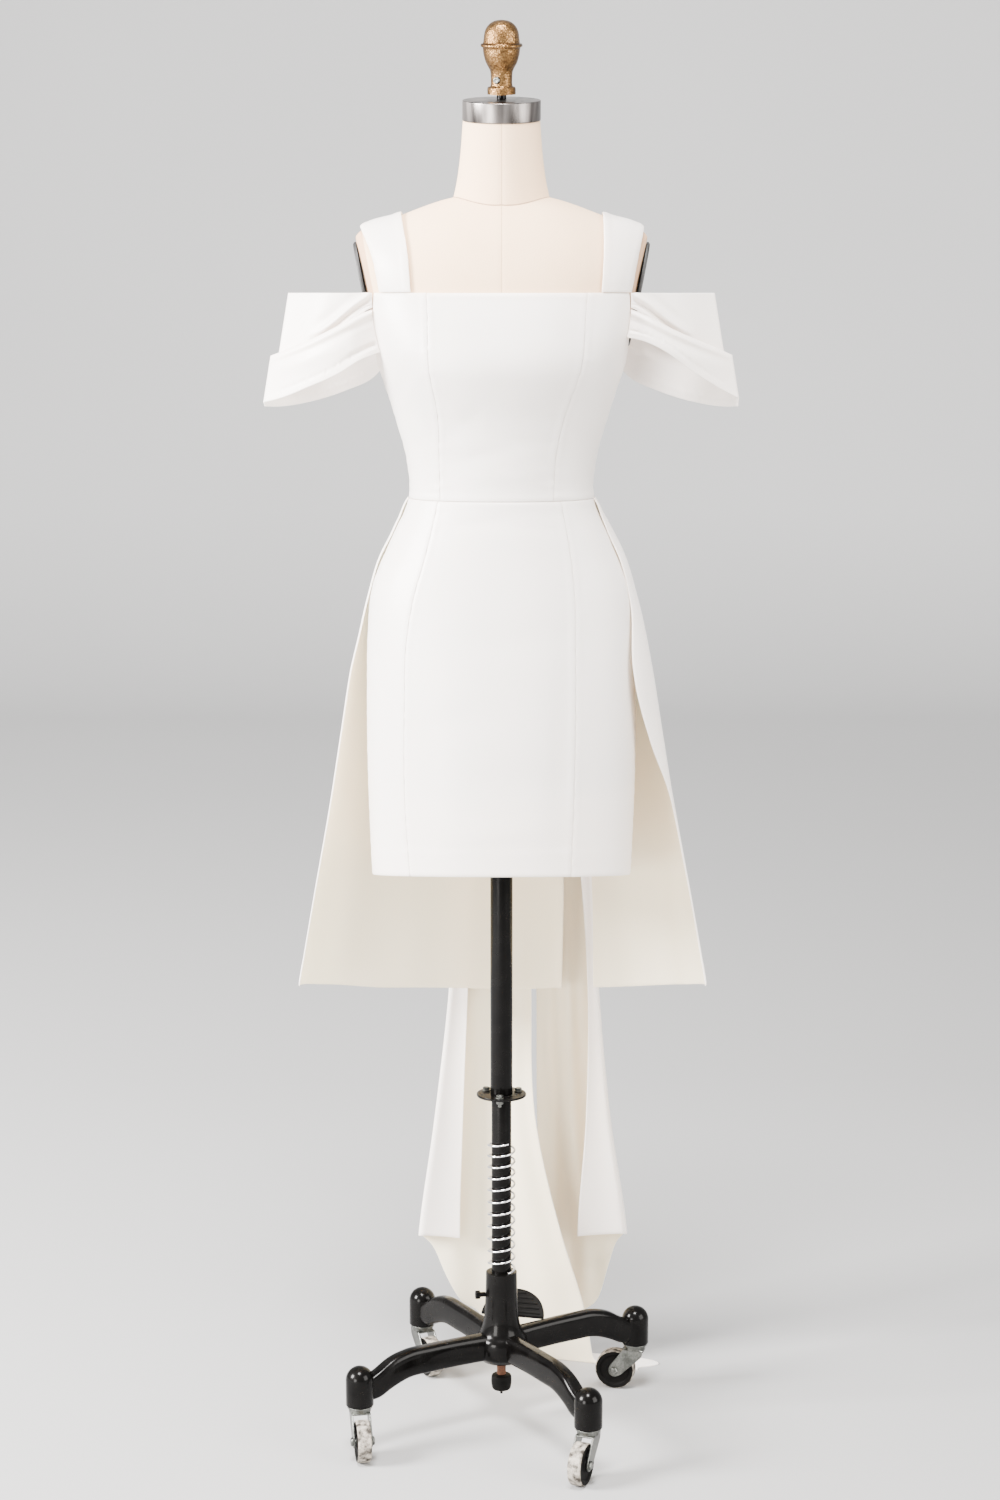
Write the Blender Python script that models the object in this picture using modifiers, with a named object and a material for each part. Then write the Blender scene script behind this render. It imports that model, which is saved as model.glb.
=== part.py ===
"""Off-shoulder mini dress with overskirt and two long tails, worn on a limbless dress form with a caster stand.

Metres, +Z up. The wearer's front looks along -Y, left in the names is -X. Everything hangs off one empty at
the foot of the pole. Cloth is a thin wall: the fitted panels are offsets of one body section, the overskirt,
tails and drapes are open surfaces with a Solidify modifier.
"""

import math

import bmesh
import bpy
import numpy as np

# Cloth and seams
WALL = 0.0016  # thickness of a layer of cloth
CLEAR = 0.0010  # from the form to the inside of the cloth
SEAM = 0.0003  # between neighbouring pieces

# Heights of the dress
WAIST_Z = 1.2310
NECKLINE_Z = 1.4870
UNDERARM_Z = 1.4040
HEM_FRONT_Z = 0.7640
HEM_FRONT_Y = -0.115
HEM_FALL = 0.175  # the hem of the mini skirt falls this much per metre towards the back
ARMHOLE_ANGLE = 27.0  # degrees forward and back of the side where the armhole meets the neckline
ARMHOLE_POWER = 2.6
OVER_HEM_SIDE_Z = 0.588
OVER_HEM_BACK_Z = 0.540
OVER_HEM_POWER = 1.2
FLUTES = 5.0  # soft waves of the overskirt from side to side
FLUTE_DEPTH = 0.006
FLUTE_TOP_Z = 1.02

# Form
FORM_BOTTOM_Z = 0.860
DOME_POWER = 2.2
SIDE_FLARE = 0.20  # the form widens this much per metre of height above the neckline
FORM_EASE = 0.0012  # the form lies this far inside the section that the cloth follows
ARM_PLANE_X = 0.1690  # flat of the armhole, at neckline height
PLATE_HALF_HEIGHT = 0.066
PLATE_HALF_WIDTH = 0.034
PLATE_THICK = 0.004
PLATE_Z = 1.485
NECK_FOOT = (0.0, 0.004, 1.575)
NECK_TOP = (0.0, -0.012, 1.6975)
NECK_LEAN = math.radians(9.0)
CAP_RADIUS = 0.0487
CAP_HEIGHT = 0.0245
STEM_RADIUS = 0.006
STEM_HEIGHT = 0.0065

# Stand
PLAN_MIDDLE_Y = 0.0125  # the pole stands this far in front of the middle of the plan
UPPER_POLE_RADIUS = 0.0145
LOWER_POLE_RADIUS = 0.0130
POLE_IN_FORM = 0.070
POLE_IN_HUB_Z = 0.130
COLLAR_Z = 0.4480
COLLAR_RADIUS = 0.0325
COLLAR_THICK = 0.0030
BOLT_CIRCLE = 0.0245
BOLT_ANGLES = (265.0, 25.0, 145.0)
HUB_TOP_Z = 0.2070
SPRING_RADIUS = 0.0172
SPRING_WIRE = 0.0014
SPRING_TOP_Z = 0.3870
SPRING_TURNS = 11
SPRING_POINTS = 8
ARM_ANGLES = (211.0, 301.0, 31.0, 121.0)
CORNERS = ("front_left", "front_right", "back_right", "back_left")
SOCKET_CIRCLE = 0.2139
SOCKET_RADIUS = 0.0181
SOCKET_DOME_Z = 0.1000
SOCKET_BOTTOM_Z = 0.0660
LOCK_SCREW_Z = 0.1765

# Casters
HEADINGS = (280.0, 248.0, 167.0, 295.0)  # where each wheel trails from its swivel, in degrees from +X
TRAIL = 0.0270
WHEEL_RADIUS = 0.0278
WHEEL_SIDES = 16
WHEEL_HALF_WIDTH = 0.0090
AXLE_Z = WHEEL_RADIUS * math.cos(math.pi / WHEEL_SIDES)
FORK_INSIDE = 0.0105
FORK_PLATE = 0.0020
FORK_CROWN_Z = 0.0568
FORK_TOP_Z = SOCKET_BOTTOM_Z - SEAM
AXLE_RADIUS = 0.0032

# Pedal
PEDAL_ANGLE = 76.0
PEDAL_PIVOT_RADIUS = 0.0440
PEDAL_PIVOT_Z = 0.1030
PEDAL_RISE = math.radians(38.0)
PEDAL_FLAT = 0.026
PEDAL_REACH = 0.068
PEDAL_HALF_WIDTH = 0.043
EAR_INSIDE = 0.0066
EAR_THICK = 0.0045


def table(columns, *rows):
    """A short table: the name of each column, and one row for each section."""
    names = columns.split()
    return {name: np.array([row[i] for row in rows], float) for i, name in enumerate(names)}


# Horizontal sections of the body: a superellipse with its own depth in front and behind.
BODY = table(
    "z half_width front back power",
    (0.700, 0.1610, 0.110, 0.103, 2.25),
    (0.800, 0.1662, 0.112, 0.109, 2.25),
    (0.900, 0.1690, 0.112, 0.115, 2.25),
    (1.000, 0.1690, 0.109, 0.121, 2.25),
    (1.060, 0.1675, 0.105, 0.120, 2.20),
    (1.120, 0.1610, 0.099, 0.110, 2.15),
    (1.180, 0.1365, 0.091, 0.094, 2.10),
    (1.231, 0.1145, 0.084, 0.080, 2.10),
    (1.278, 0.1168, 0.088, 0.081, 2.10),
    (1.330, 0.1305, 0.099, 0.089, 2.20),
    (1.388, 0.1492, 0.115, 0.097, 2.30),
    (1.420, 0.1590, 0.117, 0.101, 2.35),
    (1.450, 0.1665, 0.112, 0.104, 2.40),
    (1.487, 0.1720, 0.100, 0.106, 2.40),
)

# Height of the shoulder line across the form, out to the shoulder tip at share 1.
SHOULDER = table(
    "share z",
    (0.00, 1.6120),
    (0.32, 1.6050),
    (0.67, 1.5830),
    (0.96, 1.5625),
    (1.00, 1.5560),
)

# Princess seams: distance of each seam from the centre front.
BODICE_SEAMS = table(
    "z left right",
    (1.231, 0.0755, 0.0640),
    (1.285, 0.0765, 0.0665),
    (1.340, 0.0785, 0.0785),
    (1.390, 0.0855, 0.0935),
    (1.487, 0.0910, 0.1045),
)
SKIRT_SEAMS = table(
    "z left right",
    (0.730, 0.1120, 0.0850),
    (0.850, 0.1205, 0.0900),
    (0.980, 0.1205, 0.0920),
    (1.050, 0.1185, 0.0915),
    (1.110, 0.1090, 0.0905),
    (1.165, 0.0935, 0.0850),
    (1.231, 0.0780, 0.0730),
)

# Straps: inner and outer edge of each, from the neckline to the top of the shoulder (rise 0 to 1).
STRAPS = table(
    "rise left_inner left_outer right_inner right_outer",
    (0.0, 0.110, 0.1490, 0.1215, 0.1590),
    (0.5, 0.114, 0.1590, 0.1240, 0.1680),
    (1.0, 0.123, 0.1770, 0.1240, 0.1785),
)

# Overskirt sections: half width at the side, depth behind and in front of its middle, where that middle lies,
# and how far its right front edge comes round in front of the side.
OVERSKIRT = table(
    "z half_width back front middle_y right_start",
    (0.530, 0.2770, 0.1800, 0.150, 0.031, 0.0),
    (0.587, 0.2680, 0.1780, 0.145, 0.030, 0.0),
    (0.700, 0.2480, 0.1740, 0.135, 0.025, 0.0),
    (0.835, 0.2225, 0.1680, 0.126, 0.018, 8.0),
    (0.924, 0.2075, 0.1610, 0.120, 0.012, 24.0),
    (1.020, 0.1915, 0.1510, 0.114, 0.007, 30.0),
    (1.100, 0.1745, 0.1360, 0.109, 0.003, 18.0),
    (1.170, 0.1525, 0.1120, 0.098, 0.001, 14.0),
    (1.195, 0.1400, 0.1010, 0.094, 0.000, 12.0),
    (1.231, 0.1184, 0.0839, 0.0879, 0.000, 8.0),
)
OVER_POWER = 2.1

# The slit behind: where the edge of each overskirt half hangs.
SLIT = table(
    "z left_edge right_edge",
    (0.530, 0.083, 0.127),
    (0.690, 0.085, 0.124),
    (0.850, 0.080, 0.112),
    (1.050, 0.040, 0.056),
    (1.231, -0.00015, 0.00015),
)

# Sleeves: lower edges of the drape against the distance from the middle of the dress.
SLEEVE_X = table(
    "x fold_left fold_right front_left front_right back",
    (0.1600, 1.4680, 1.4680, 1.4150, 1.4330, 1.4080),
    (0.1860, 1.4560, 1.4570, 1.4050, 1.4270, 1.3800),
    (0.2150, 1.4420, 1.4430, 1.3870, 1.4120, 1.3640),
    (0.2450, 1.4280, 1.4300, 1.3715, 1.3890, 1.3515),
    (0.2750, 1.4150, 1.4170, 1.3560, 1.3665, 1.3450),
    (0.3000, 1.4050, 1.4050, 1.3475, 1.3490, 1.3470),
)
SLEEVE_START_X = 0.1615
SLEEVE_START_Y = 0.0530
SLEEVE_SEAT = 0.0009  # from the outside of the bodice to the middle of the wall that starts there
UPPER_CREASE_X = 0.2665
LOWER_CREASE_X = 0.2900
CREASE_SLOPE = 0.17  # the crease moves out this much per metre of fall
UNDERLAP = 0.016

# Tails: free edge of the flap, outer fold and inner edge at each height, with the depth of flap and back layer.
TAIL_LEFT = table(
    "z free fold inner flap_y back_y",
    (0.000, -0.0550, -0.1220, 0.1300, 0.2130, 0.2260),
    (0.080, -0.0560, -0.1200, 0.1160, 0.2130, 0.2260),
    (0.184, -0.0580, -0.1119, 0.0850, 0.2120, 0.2260),
    (0.350, -0.0535, -0.0893, 0.0480, 0.2115, 0.2250),
    (0.580, -0.0450, -0.0652, 0.0400, 0.2180, 0.2290),
    (0.835, -0.0400, -0.0640, 0.0200, 0.1965, 0.2040),
    (1.020, -0.0320, -0.0560, 0.0080, 0.1640, 0.1690),
    (1.130, -0.0250, -0.0500, 0.0000, 0.1335, 0.1375),
    (1.195, -0.0200, -0.0450, -0.0020, 0.1060, 0.1090),
    (1.231, -0.0180, -0.0420, -0.0030, 0.0870, 0.0893),
)
TAIL_RIGHT = table(
    "z free fold inner flap_y back_y",
    (0.000, 0.1080, 0.1800, 0.0600, 0.2230, 0.2480),
    (0.080, 0.1080, 0.1800, 0.0600, 0.2230, 0.2480),
    (0.184, 0.1070, 0.1727, 0.0560, 0.2200, 0.2480),
    (0.350, 0.1180, 0.1484, 0.0500, 0.2180, 0.2450),
    (0.580, 0.1180, 0.1276, 0.0475, 0.2180, 0.2370),
    (0.835, 0.0900, 0.1100, 0.0320, 0.1965, 0.2100),
    (1.020, 0.0500, 0.0750, 0.0200, 0.1640, 0.1710),
    (1.130, 0.0320, 0.0570, 0.0090, 0.1335, 0.1380),
    (1.195, 0.0240, 0.0490, 0.0035, 0.1060, 0.1090),
    (1.231, 0.0200, 0.0440, 0.0030, 0.0870, 0.0893),
)

# Where each column of the left tail ends: above the floor at end_z, or on it after run metres in a direction.
END_LEFT = table(
    "share end_z run heading",
    (0.00, 0.1800, 0.000, 0.0),
    (0.10, 0.1580, 0.000, 0.0),
    (0.18, 0.1200, 0.000, 0.0),
    (0.26, 0.0850, 0.000, 0.0),
    (0.38, 0.0600, 0.000, 0.0),
    (0.48, 0.0000, 0.030, 10.0),
    (0.62, 0.0000, 0.172, -4.0),
    (0.80, 0.0000, 0.118, -16.0),
    (1.00, 0.0000, 0.066, -24.0),
)
END_RIGHT = table(
    "share end_z run heading",
    (0.00, 0.1750, 0.000, 0.0),
    (0.12, 0.1560, 0.000, 0.0),
    (0.22, 0.1250, 0.000, 0.0),
    (0.34, 0.0800, 0.000, 0.0),
    (0.50, 0.0600, 0.000, 0.0),
    (1.00, 0.0550, 0.000, 0.0),
)
FLAP_END_Z = 0.184
TAIL_SEAT = 0.0020  # from the middle of the overskirt's wall to the middle of the flap, at the waist
FLOOR_BEND = 0.012  # radius with which the cloth turns onto the floor

# Profiles turned about an upright axis: radius and height.
KNOB_PROFILE = (
    (0.0000, 0.0890), (0.0090, 0.0875), (0.0160, 0.0830), (0.0205, 0.0755), (0.0222, 0.0650),
    (0.0228, 0.0612), (0.0255, 0.0600), (0.0255, 0.0572), (0.0232, 0.0556), (0.0222, 0.0480),
    (0.0195, 0.0385), (0.0150, 0.0300), (0.0135, 0.0240), (0.0135, 0.0105), (0.0172, 0.0080),
    (0.0175, 0.0010), (0.0165, 0.0000), (0.0000, 0.0000),
)
HUB_PROFILE = (
    (0.0000, 0.2070), (0.0200, 0.2070), (0.0206, 0.2050), (0.0212, 0.1750), (0.0230, 0.1450),
    (0.0275, 0.1260), (0.0340, 0.1150), (0.0345, 0.0960), (0.0270, 0.0860), (0.0000, 0.0860),
)
SOCKET_PROFILE_STEPS = 4
ROD_PROFILE = ((0.0000, 0.0857), (0.0060, 0.0857), (0.0060, 0.0645), (0.0000, 0.0645))
STOPPER_PROFILE = (
    (0.0000, 0.0642), (0.0105, 0.0642), (0.0132, 0.0610), (0.0135, 0.0520), (0.0110, 0.0440),
    (0.0022, 0.0430), (0.0018, 0.0370), (0.0000, 0.0370),
)

# One arm of the foot, from the hub outwards: middle height, half height and half width of its section.
ARM = table(
    "reach middle_z half_height half_width",
    (0.010, 0.1070, 0.0180, 0.0130),
    (0.045, 0.1080, 0.0180, 0.0112),
    (0.110, 0.1090, 0.0182, 0.0108),
    (0.145, 0.1078, 0.0185, 0.0110),
    (0.170, 0.1000, 0.0195, 0.0114),
    (0.188, 0.0905, 0.0185, 0.0118),
    (0.207, 0.0850, 0.0145, 0.0118),
)

COLOURS = {
    "satin": ((0.86, 0.84, 0.81), 0.45, 0.0),
    "linen": ((0.84, 0.77, 0.68), 0.85, 0.0),
    "dark_plate": ((0.06, 0.06, 0.06), 0.6, 0.0),
    "brushed_steel": ((0.55, 0.54, 0.54), 0.3, 1.0),
    "brass": ((0.55, 0.38, 0.19), 0.45, 0.9),
    "black_paint": ((0.012, 0.012, 0.013), 0.25, 0.0),
    "chrome": ((0.75, 0.75, 0.76), 0.12, 1.0),
    "zinc": ((0.55, 0.56, 0.57), 0.35, 1.0),
    "rust": ((0.20, 0.08, 0.04), 0.8, 0.4),
    "rubber": ((0.02, 0.02, 0.02), 0.7, 0.0),
}


def clear_scene():
    for obj in list(bpy.data.objects):
        bpy.data.objects.remove(obj, do_unlink=True)


def make_collection(name):
    collection = bpy.data.collections.new(name)
    bpy.context.scene.collection.children.link(collection)
    return collection


def make_material(name):
    colour, roughness, metallic = COLOURS[name]
    material = bpy.data.materials.new(name)
    material.use_nodes = True
    shader = material.node_tree.nodes["Principled BSDF"]
    shader.inputs["Base Color"].default_value = (*colour, 1.0)
    shader.inputs["Roughness"].default_value = roughness
    shader.inputs["Metallic"].default_value = metallic
    return material


clear_scene()
PARTS = make_collection("off_shoulder_dress_on_form")
CUTTERS = make_collection("cutters")
MATERIALS = {name: make_material(name) for name in COLOURS}
FOOT = bpy.data.objects.new("pole_foot", None)
FOOT.location = (0.0, -PLAN_MIDDLE_Y, 0.0)
PARTS.objects.link(FOOT)


def curve(rows, name, at, key="z"):
    """Smooth cubic curve through one column of a table, read at the given keys."""
    x, y = rows[key], rows[name]
    at = np.clip(np.asarray(at, float), x[0], x[-1])
    slope = np.gradient(y, x)
    i = np.clip(np.searchsorted(x, at) - 1, 0, len(x) - 2)
    span = x[i + 1] - x[i]
    t = (at - x[i]) / span
    start = (1 + 2 * t) * (1 - t) ** 2 * y[i] + t * (1 - t) ** 2 * span * slope[i]
    end = t * t * (3 - 2 * t) * y[i + 1] + t * t * (t - 1) * span * slope[i + 1]
    return start + end


def ramp(value, low, high):
    """Smooth step from 0 at low to 1 at high."""
    t = np.clip((np.asarray(value, float) - low) / (high - low), 0.0, 1.0)
    return t * t * (3 - 2 * t)


def power_cos(angle, power):
    c = np.cos(angle)
    return np.sign(c) * np.abs(c) ** (2.0 / power)


def power_sin(angle, power):
    s = np.sin(angle)
    return np.sign(s) * np.abs(s) ** (2.0 / power)


def section(angle, z, out=0.0):
    """Points of the body's sections; angle 0 is the +X side, 90 degrees the back, out an offset outwards."""
    power = curve(BODY, "power", z)
    half = curve(BODY, "half_width", z) + out
    back = curve(BODY, "back", z) + out
    front = curve(BODY, "front", z) + out
    across = half * power_cos(angle, power)
    depth = np.where(np.sin(angle) < 0, front, back) * power_sin(angle, power)
    return np.stack([across, depth, np.broadcast_to(z, across.shape)], -1)


def angle_in_front(x, z):
    """Angle of the front half of a body section at which it lies x from the middle."""
    share = np.clip(np.abs(x) / (curve(BODY, "half_width", z) + CLEAR), 0.0, 1.0)
    turn = np.arccos(share ** (curve(BODY, "power", z) / 2))
    return np.where(np.asarray(x) < 0, turn - math.pi, -turn)


def angle_behind(x, z):
    return -angle_in_front(x, z)


def dome(share, swing, out=0.0):
    """Shoulders above the neckline: arches from front to back, share across and swing 0 to 180 degrees over."""
    power = BODY["power"][-1]
    widest = BODY["half_width"][-1]
    thin = (1 - np.abs(share) ** power) ** (1 / power)
    arch = np.abs(power_sin(swing, DOME_POWER))
    z = NECKLINE_Z + (curve(SHOULDER, "z", np.abs(share), "share") + out - NECKLINE_Z) * arch
    depth = np.where(np.cos(swing) > 0, BODY["front"][-1], BODY["back"][-1]) * thin + out
    y = -depth * power_cos(swing, DOME_POWER)
    x = share * (widest + out + SIDE_FLARE * (z - NECKLINE_Z))
    return np.stack([x, y, z], -1)


def mesh_from(name, points, faces):
    """A mesh from points and faces, its normals turned outwards if it is closed."""
    mesh = bpy.data.meshes.new(name)
    mesh.from_pydata([tuple(p) for p in points], [], faces)
    mesh.validate()
    return mesh


def turn_outwards(mesh):
    work = bmesh.new()
    work.from_mesh(mesh)
    bmesh.ops.recalc_face_normals(work, faces=work.faces)
    if work.calc_volume(signed=True) < 0:
        bmesh.ops.reverse_faces(work, faces=work.faces)
    work.to_mesh(mesh)
    work.free()


def place(name, mesh, material, parent=None, location=(0, 0, 0), rotation=(0, 0, 0), smooth=True):
    """Links an object for a mesh, with its material, under a parent."""
    obj = bpy.data.objects.new(name, mesh)
    PARTS.objects.link(obj)
    obj.parent = parent or FOOT
    obj.location = location
    obj.rotation_euler = rotation
    if not mesh.materials:
        mesh.materials.append(MATERIALS[material])
    if smooth:
        mesh.shade_smooth()
        mesh.set_sharp_from_angle(angle=math.radians(35))
    return obj


def helper(name, mesh, parent=None, location=(0, 0, 0), rotation=(0, 0, 0)):
    """A shape that only cuts or joins others."""
    obj = bpy.data.objects.new(name, mesh)
    CUTTERS.objects.link(obj)
    obj.parent = parent or FOOT
    obj.location = location
    obj.rotation_euler = rotation
    obj.hide_render = True
    obj.display_type = "WIRE"
    return obj


def combine(obj, other, operation):
    modifier = obj.modifiers.new(other.name, "BOOLEAN")
    modifier.operation = operation
    modifier.object = other
    modifier.solver = "EXACT"


def grid_faces(rows, columns, first=0, closed=False):
    faces = []
    for r in range(rows - 1):
        for c in range(columns if closed else columns - 1):
            d = (c + 1) % columns
            a, b = first + r * columns, first + (r + 1) * columns
            faces.append((a + c, a + d, b + d, b + c))
    return faces


def wall_between(name, inner, outer, material):
    """Closed wall between two grids of points of the same size."""
    rows, columns = inner.shape[:2]
    count = rows * columns
    faces = grid_faces(rows, columns) + [f[::-1] for f in grid_faces(rows, columns, count)]
    rim = [r * columns for r in range(rows)]
    rim += [(rows - 1) * columns + c for c in range(1, columns)]
    rim += [r * columns + columns - 1 for r in range(rows - 2, -1, -1)]
    rim += [c for c in range(columns - 2, 0, -1)]
    for a, b in zip(rim, rim[1:] + rim[:1]):
        faces.append((a, b, b + count, a + count))
    mesh = mesh_from(name, np.concatenate([inner.reshape(-1, 3), outer.reshape(-1, 3)]), faces)
    turn_outwards(mesh)
    return place(name, mesh, material)


def sheet(name, points, material, offset=0.0):
    """Open surface from a grid of points, with a wall from Solidify."""
    rows, columns = points.shape[:2]
    mesh = mesh_from(name, points.reshape(-1, 3), grid_faces(rows, columns))
    obj = place(name, mesh, material)
    wall = obj.modifiers.new("wall", "SOLIDIFY")
    wall.thickness = WALL
    wall.offset = offset
    return obj


def loft(name, rings):
    """Closed mesh through rings with the same number of points, flat at both ends."""
    rings = np.asarray(rings)
    rows, columns = rings.shape[:2]
    faces = grid_faces(rows, columns, closed=True)
    faces.append(tuple(range(columns))[::-1])
    faces.append(tuple((rows - 1) * columns + c for c in range(columns)))
    mesh = mesh_from(name, rings.reshape(-1, 3), faces)
    turn_outwards(mesh)
    return mesh


def turned(name, profile, steps, material, parent=None, location=(0, 0, 0), rotation=(0, 0, 0), is_helper=False):
    """A profile of radii and heights, top first, turned about the object's Z axis."""
    mesh = bpy.data.meshes.new(name)
    points = [(radius, 0.0, height) for radius, height in profile]
    edges = [(i, i + 1) for i in range(len(points) - 1)]
    mesh.from_pydata(points, edges, [])
    if is_helper:
        obj = helper(name, mesh, parent, location, rotation)
    else:
        obj = place(name, mesh, material, parent, location, rotation, smooth=False)
    screw = obj.modifiers.new("turn", "SCREW")
    screw.steps = steps
    screw.render_steps = steps
    screw.use_merge_vertices = True
    screw.merge_threshold = 0.00005
    return obj


def ring_profile(profile):
    """Closes a profile on itself, for a turned piece with a hole along its axis."""
    return tuple(profile) + (profile[0],)


def turned_ring(name, profile, steps, phase=0.0):
    """Mesh of a closed profile of radii and heights turned about Z."""
    turns = np.radians(np.arange(steps) * 360.0 / steps) + phase
    count = len(profile)
    points = [(r * math.cos(t), r * math.sin(t), h) for t in turns for r, h in profile]
    faces = []
    for s in range(steps):
        n = (s + 1) % steps
        for i in range(count):
            j = (i + 1) % count
            faces.append((s * count + i, n * count + i, n * count + j, s * count + j))
    mesh = mesh_from(name, points, faces)
    turn_outwards(mesh)
    return mesh


def rod(name, radius, low, high, sides):
    """Upright cylinder between two heights."""
    mesh = bpy.data.meshes.new(name)
    work = bmesh.new()
    bmesh.ops.create_cone(work, cap_ends=True, segments=sides, radius1=radius, radius2=radius, depth=high - low)
    bmesh.ops.translate(work, verts=work.verts, vec=(0, 0, (high + low) / 2))
    work.to_mesh(mesh)
    work.free()
    return mesh


def block(name, low, high):
    """Box between two corners."""
    mesh = bpy.data.meshes.new(name)
    work = bmesh.new()
    made = bmesh.ops.create_cube(work, size=1.0)
    size = [b - a for a, b in zip(low, high)]
    bmesh.ops.scale(work, verts=made["verts"], vec=size)
    bmesh.ops.translate(work, verts=made["verts"], vec=[(a + b) / 2 for a, b in zip(low, high)])
    work.to_mesh(mesh)
    work.free()
    return mesh


def slab(name, outline, low, high):
    """A flat outline in X and Z, made solid along Y between low and high."""
    rings = [[(x, y, z) for x, z in outline] for y in (low, high)]
    return loft(name, rings)


def polar(radius, degrees, z=0.0):
    a = math.radians(degrees)
    return (radius * math.cos(a), radius * math.sin(a), z)


# The form


def make_form_body():
    """Torso, shoulders and neck in one body, with flat armholes and a bore for the pole."""
    columns = 32
    angles = np.radians(np.arange(columns) * 360.0 / columns)
    heights = np.concatenate([np.linspace(FORM_BOTTOM_Z, 1.18, 5), np.linspace(1.231, NECKLINE_Z, 7)])
    rings = [section(angles, z, -FORM_EASE) for z in heights]
    rim = rings[-1]
    share = rim[:, 0] / (BODY["half_width"][-1] - FORM_EASE)
    for swing in np.radians([20.0, 38.0, 55.0, 70.0, 83.0]):
        swings = np.where(rim[:, 1] <= 0, swing, math.pi - swing)
        rings.append(dome(share, swings, -FORM_EASE))
    points = np.array(rings)
    rows = len(points)
    faces = grid_faces(rows, columns, closed=True)
    faces.append(tuple(range(columns))[::-1])
    top = (rows - 1) * columns
    half = columns // 2
    faces.append((top, top + 1, top + columns - 1))
    faces.append((top + half - 1, top + half, top + half + 1))
    for c in range(1, half - 1):
        faces.append((top + c, top + c + 1, top + columns - c - 1, top + columns - c))
    mesh = mesh_from("form_body", points.reshape(-1, 3), faces)
    turn_outwards(mesh)
    body = place("form_body", mesh, "linen")
    combine(body, helper("neck_shape", make_neck()), "UNION")
    tilt = math.atan(SIDE_FLARE)
    for side, word in ((-1, "left"), (1, "right")):
        cutter = block("arm_cut_" + word, (0.0, -0.2, -0.16), (0.1, 0.2, 0.3))
        where = (side * ARM_PLANE_X, 0.0, NECKLINE_Z)
        turn = (0.0, tilt, 0.0 if side > 0 else math.pi)
        combine(body, helper("arm_cut_" + word, cutter, None, where, turn), "DIFFERENCE")
    bore = rod("pole_bore", UPPER_POLE_RADIUS + SEAM, FORM_BOTTOM_Z - 0.05, FORM_BOTTOM_Z + POLE_IN_FORM + SEAM, 24)
    combine(body, helper("pole_bore", bore), "DIFFERENCE")
    return body


def make_neck():
    """Leaning neck: rings from inside the shoulders up to the cap."""
    rings = []
    turns = np.radians(np.arange(20) * 360.0 / 20)
    neck = table(
        "up half_width half_depth lean",
        (0.00, 0.0680, 0.0640, 0.35),
        (0.22, 0.0605, 0.0590, 0.30),
        (0.34, 0.0570, 0.0560, 0.25),
        (0.60, 0.0520, 0.0515, 0.18),
        (1.00, 0.0478, 0.0478, NECK_LEAN),
    )
    foot, top = np.array(NECK_FOOT), np.array(NECK_TOP)
    for up in np.linspace(0.0, 1.0, 5):
        lean = curve(neck, "lean", up, "up")
        wide = curve(neck, "half_width", up, "up")
        deep = curve(neck, "half_depth", up, "up")
        middle = foot + (top - foot) * up
        x = wide * np.cos(turns)
        along = deep * np.sin(turns)
        rings.append(np.stack([x, middle[1] + along * np.cos(lean), middle[2] + along * np.sin(lean)], -1))
    return loft("neck_shape", rings)


def make_armhole_plates():
    """Oval plates on the flats of the armholes."""
    tilt = math.atan(SIDE_FLARE)
    for side, word in ((-1, "left"), (1, "right")):
        mesh = bpy.data.meshes.new("armhole_plate_" + word)
        work = bmesh.new()
        bmesh.ops.create_cone(work, cap_ends=True, segments=24, radius1=1.0, radius2=0.94, depth=PLATE_THICK)
        bmesh.ops.scale(work, verts=work.verts, vec=(PLATE_HALF_HEIGHT, PLATE_HALF_WIDTH, 1.0))
        work.to_mesh(mesh)
        work.free()
        off = (SEAM + PLATE_THICK / 2) / math.cos(tilt)
        x = ARM_PLANE_X + SIDE_FLARE * (PLATE_Z - NECKLINE_Z) + off
        turn = (0.0, side * (math.pi / 2 + tilt), 0.0)
        place("armhole_plate_" + word, mesh, "dark_plate", None, (side * x, 0.0, PLATE_Z), turn)


def make_head_pieces():
    """Neck cap, stem, knob and its clamping screw, all leaning with the neck."""
    top = bpy.data.objects.new("neck_top", None)
    PARTS.objects.link(top)
    top.parent = FOOT
    top.location = NECK_TOP
    top.rotation_euler = (NECK_LEAN, 0.0, 0.0)
    edge = 0.0015
    cap = (
        (0.0, SEAM + CAP_HEIGHT), (CAP_RADIUS - edge, SEAM + CAP_HEIGHT), (CAP_RADIUS, SEAM + CAP_HEIGHT - edge),
        (CAP_RADIUS, SEAM), (0.0, SEAM),
    )
    turned("neck_cap", cap, 28, "brushed_steel", top)
    stem_low = 2 * SEAM + CAP_HEIGHT
    stem = rod("stem", STEM_RADIUS, stem_low, stem_low + STEM_HEIGHT, 16)
    place("stem", stem, "black_paint", top)
    knob_low = stem_low + STEM_HEIGHT + SEAM
    turned("knob", KNOB_PROFILE, 16, "brass", top, (0.0, 0.0, knob_low))
    turn = math.radians(-115.0)
    reach = 0.0135 + SEAM
    screw = (
        (0.0, 0.0030), (0.0020, 0.0030), (0.0020, 0.0018), (0.0045, 0.0018), (0.0045, 0.0), (0.0, 0.0),
    )
    where = (reach * math.cos(turn), reach * math.sin(turn), knob_low + 0.0175)
    turned("knob_screw", screw, 14, "zinc", top, where, (0.0, math.pi / 2, turn))


# The dress: fitted panels


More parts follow.
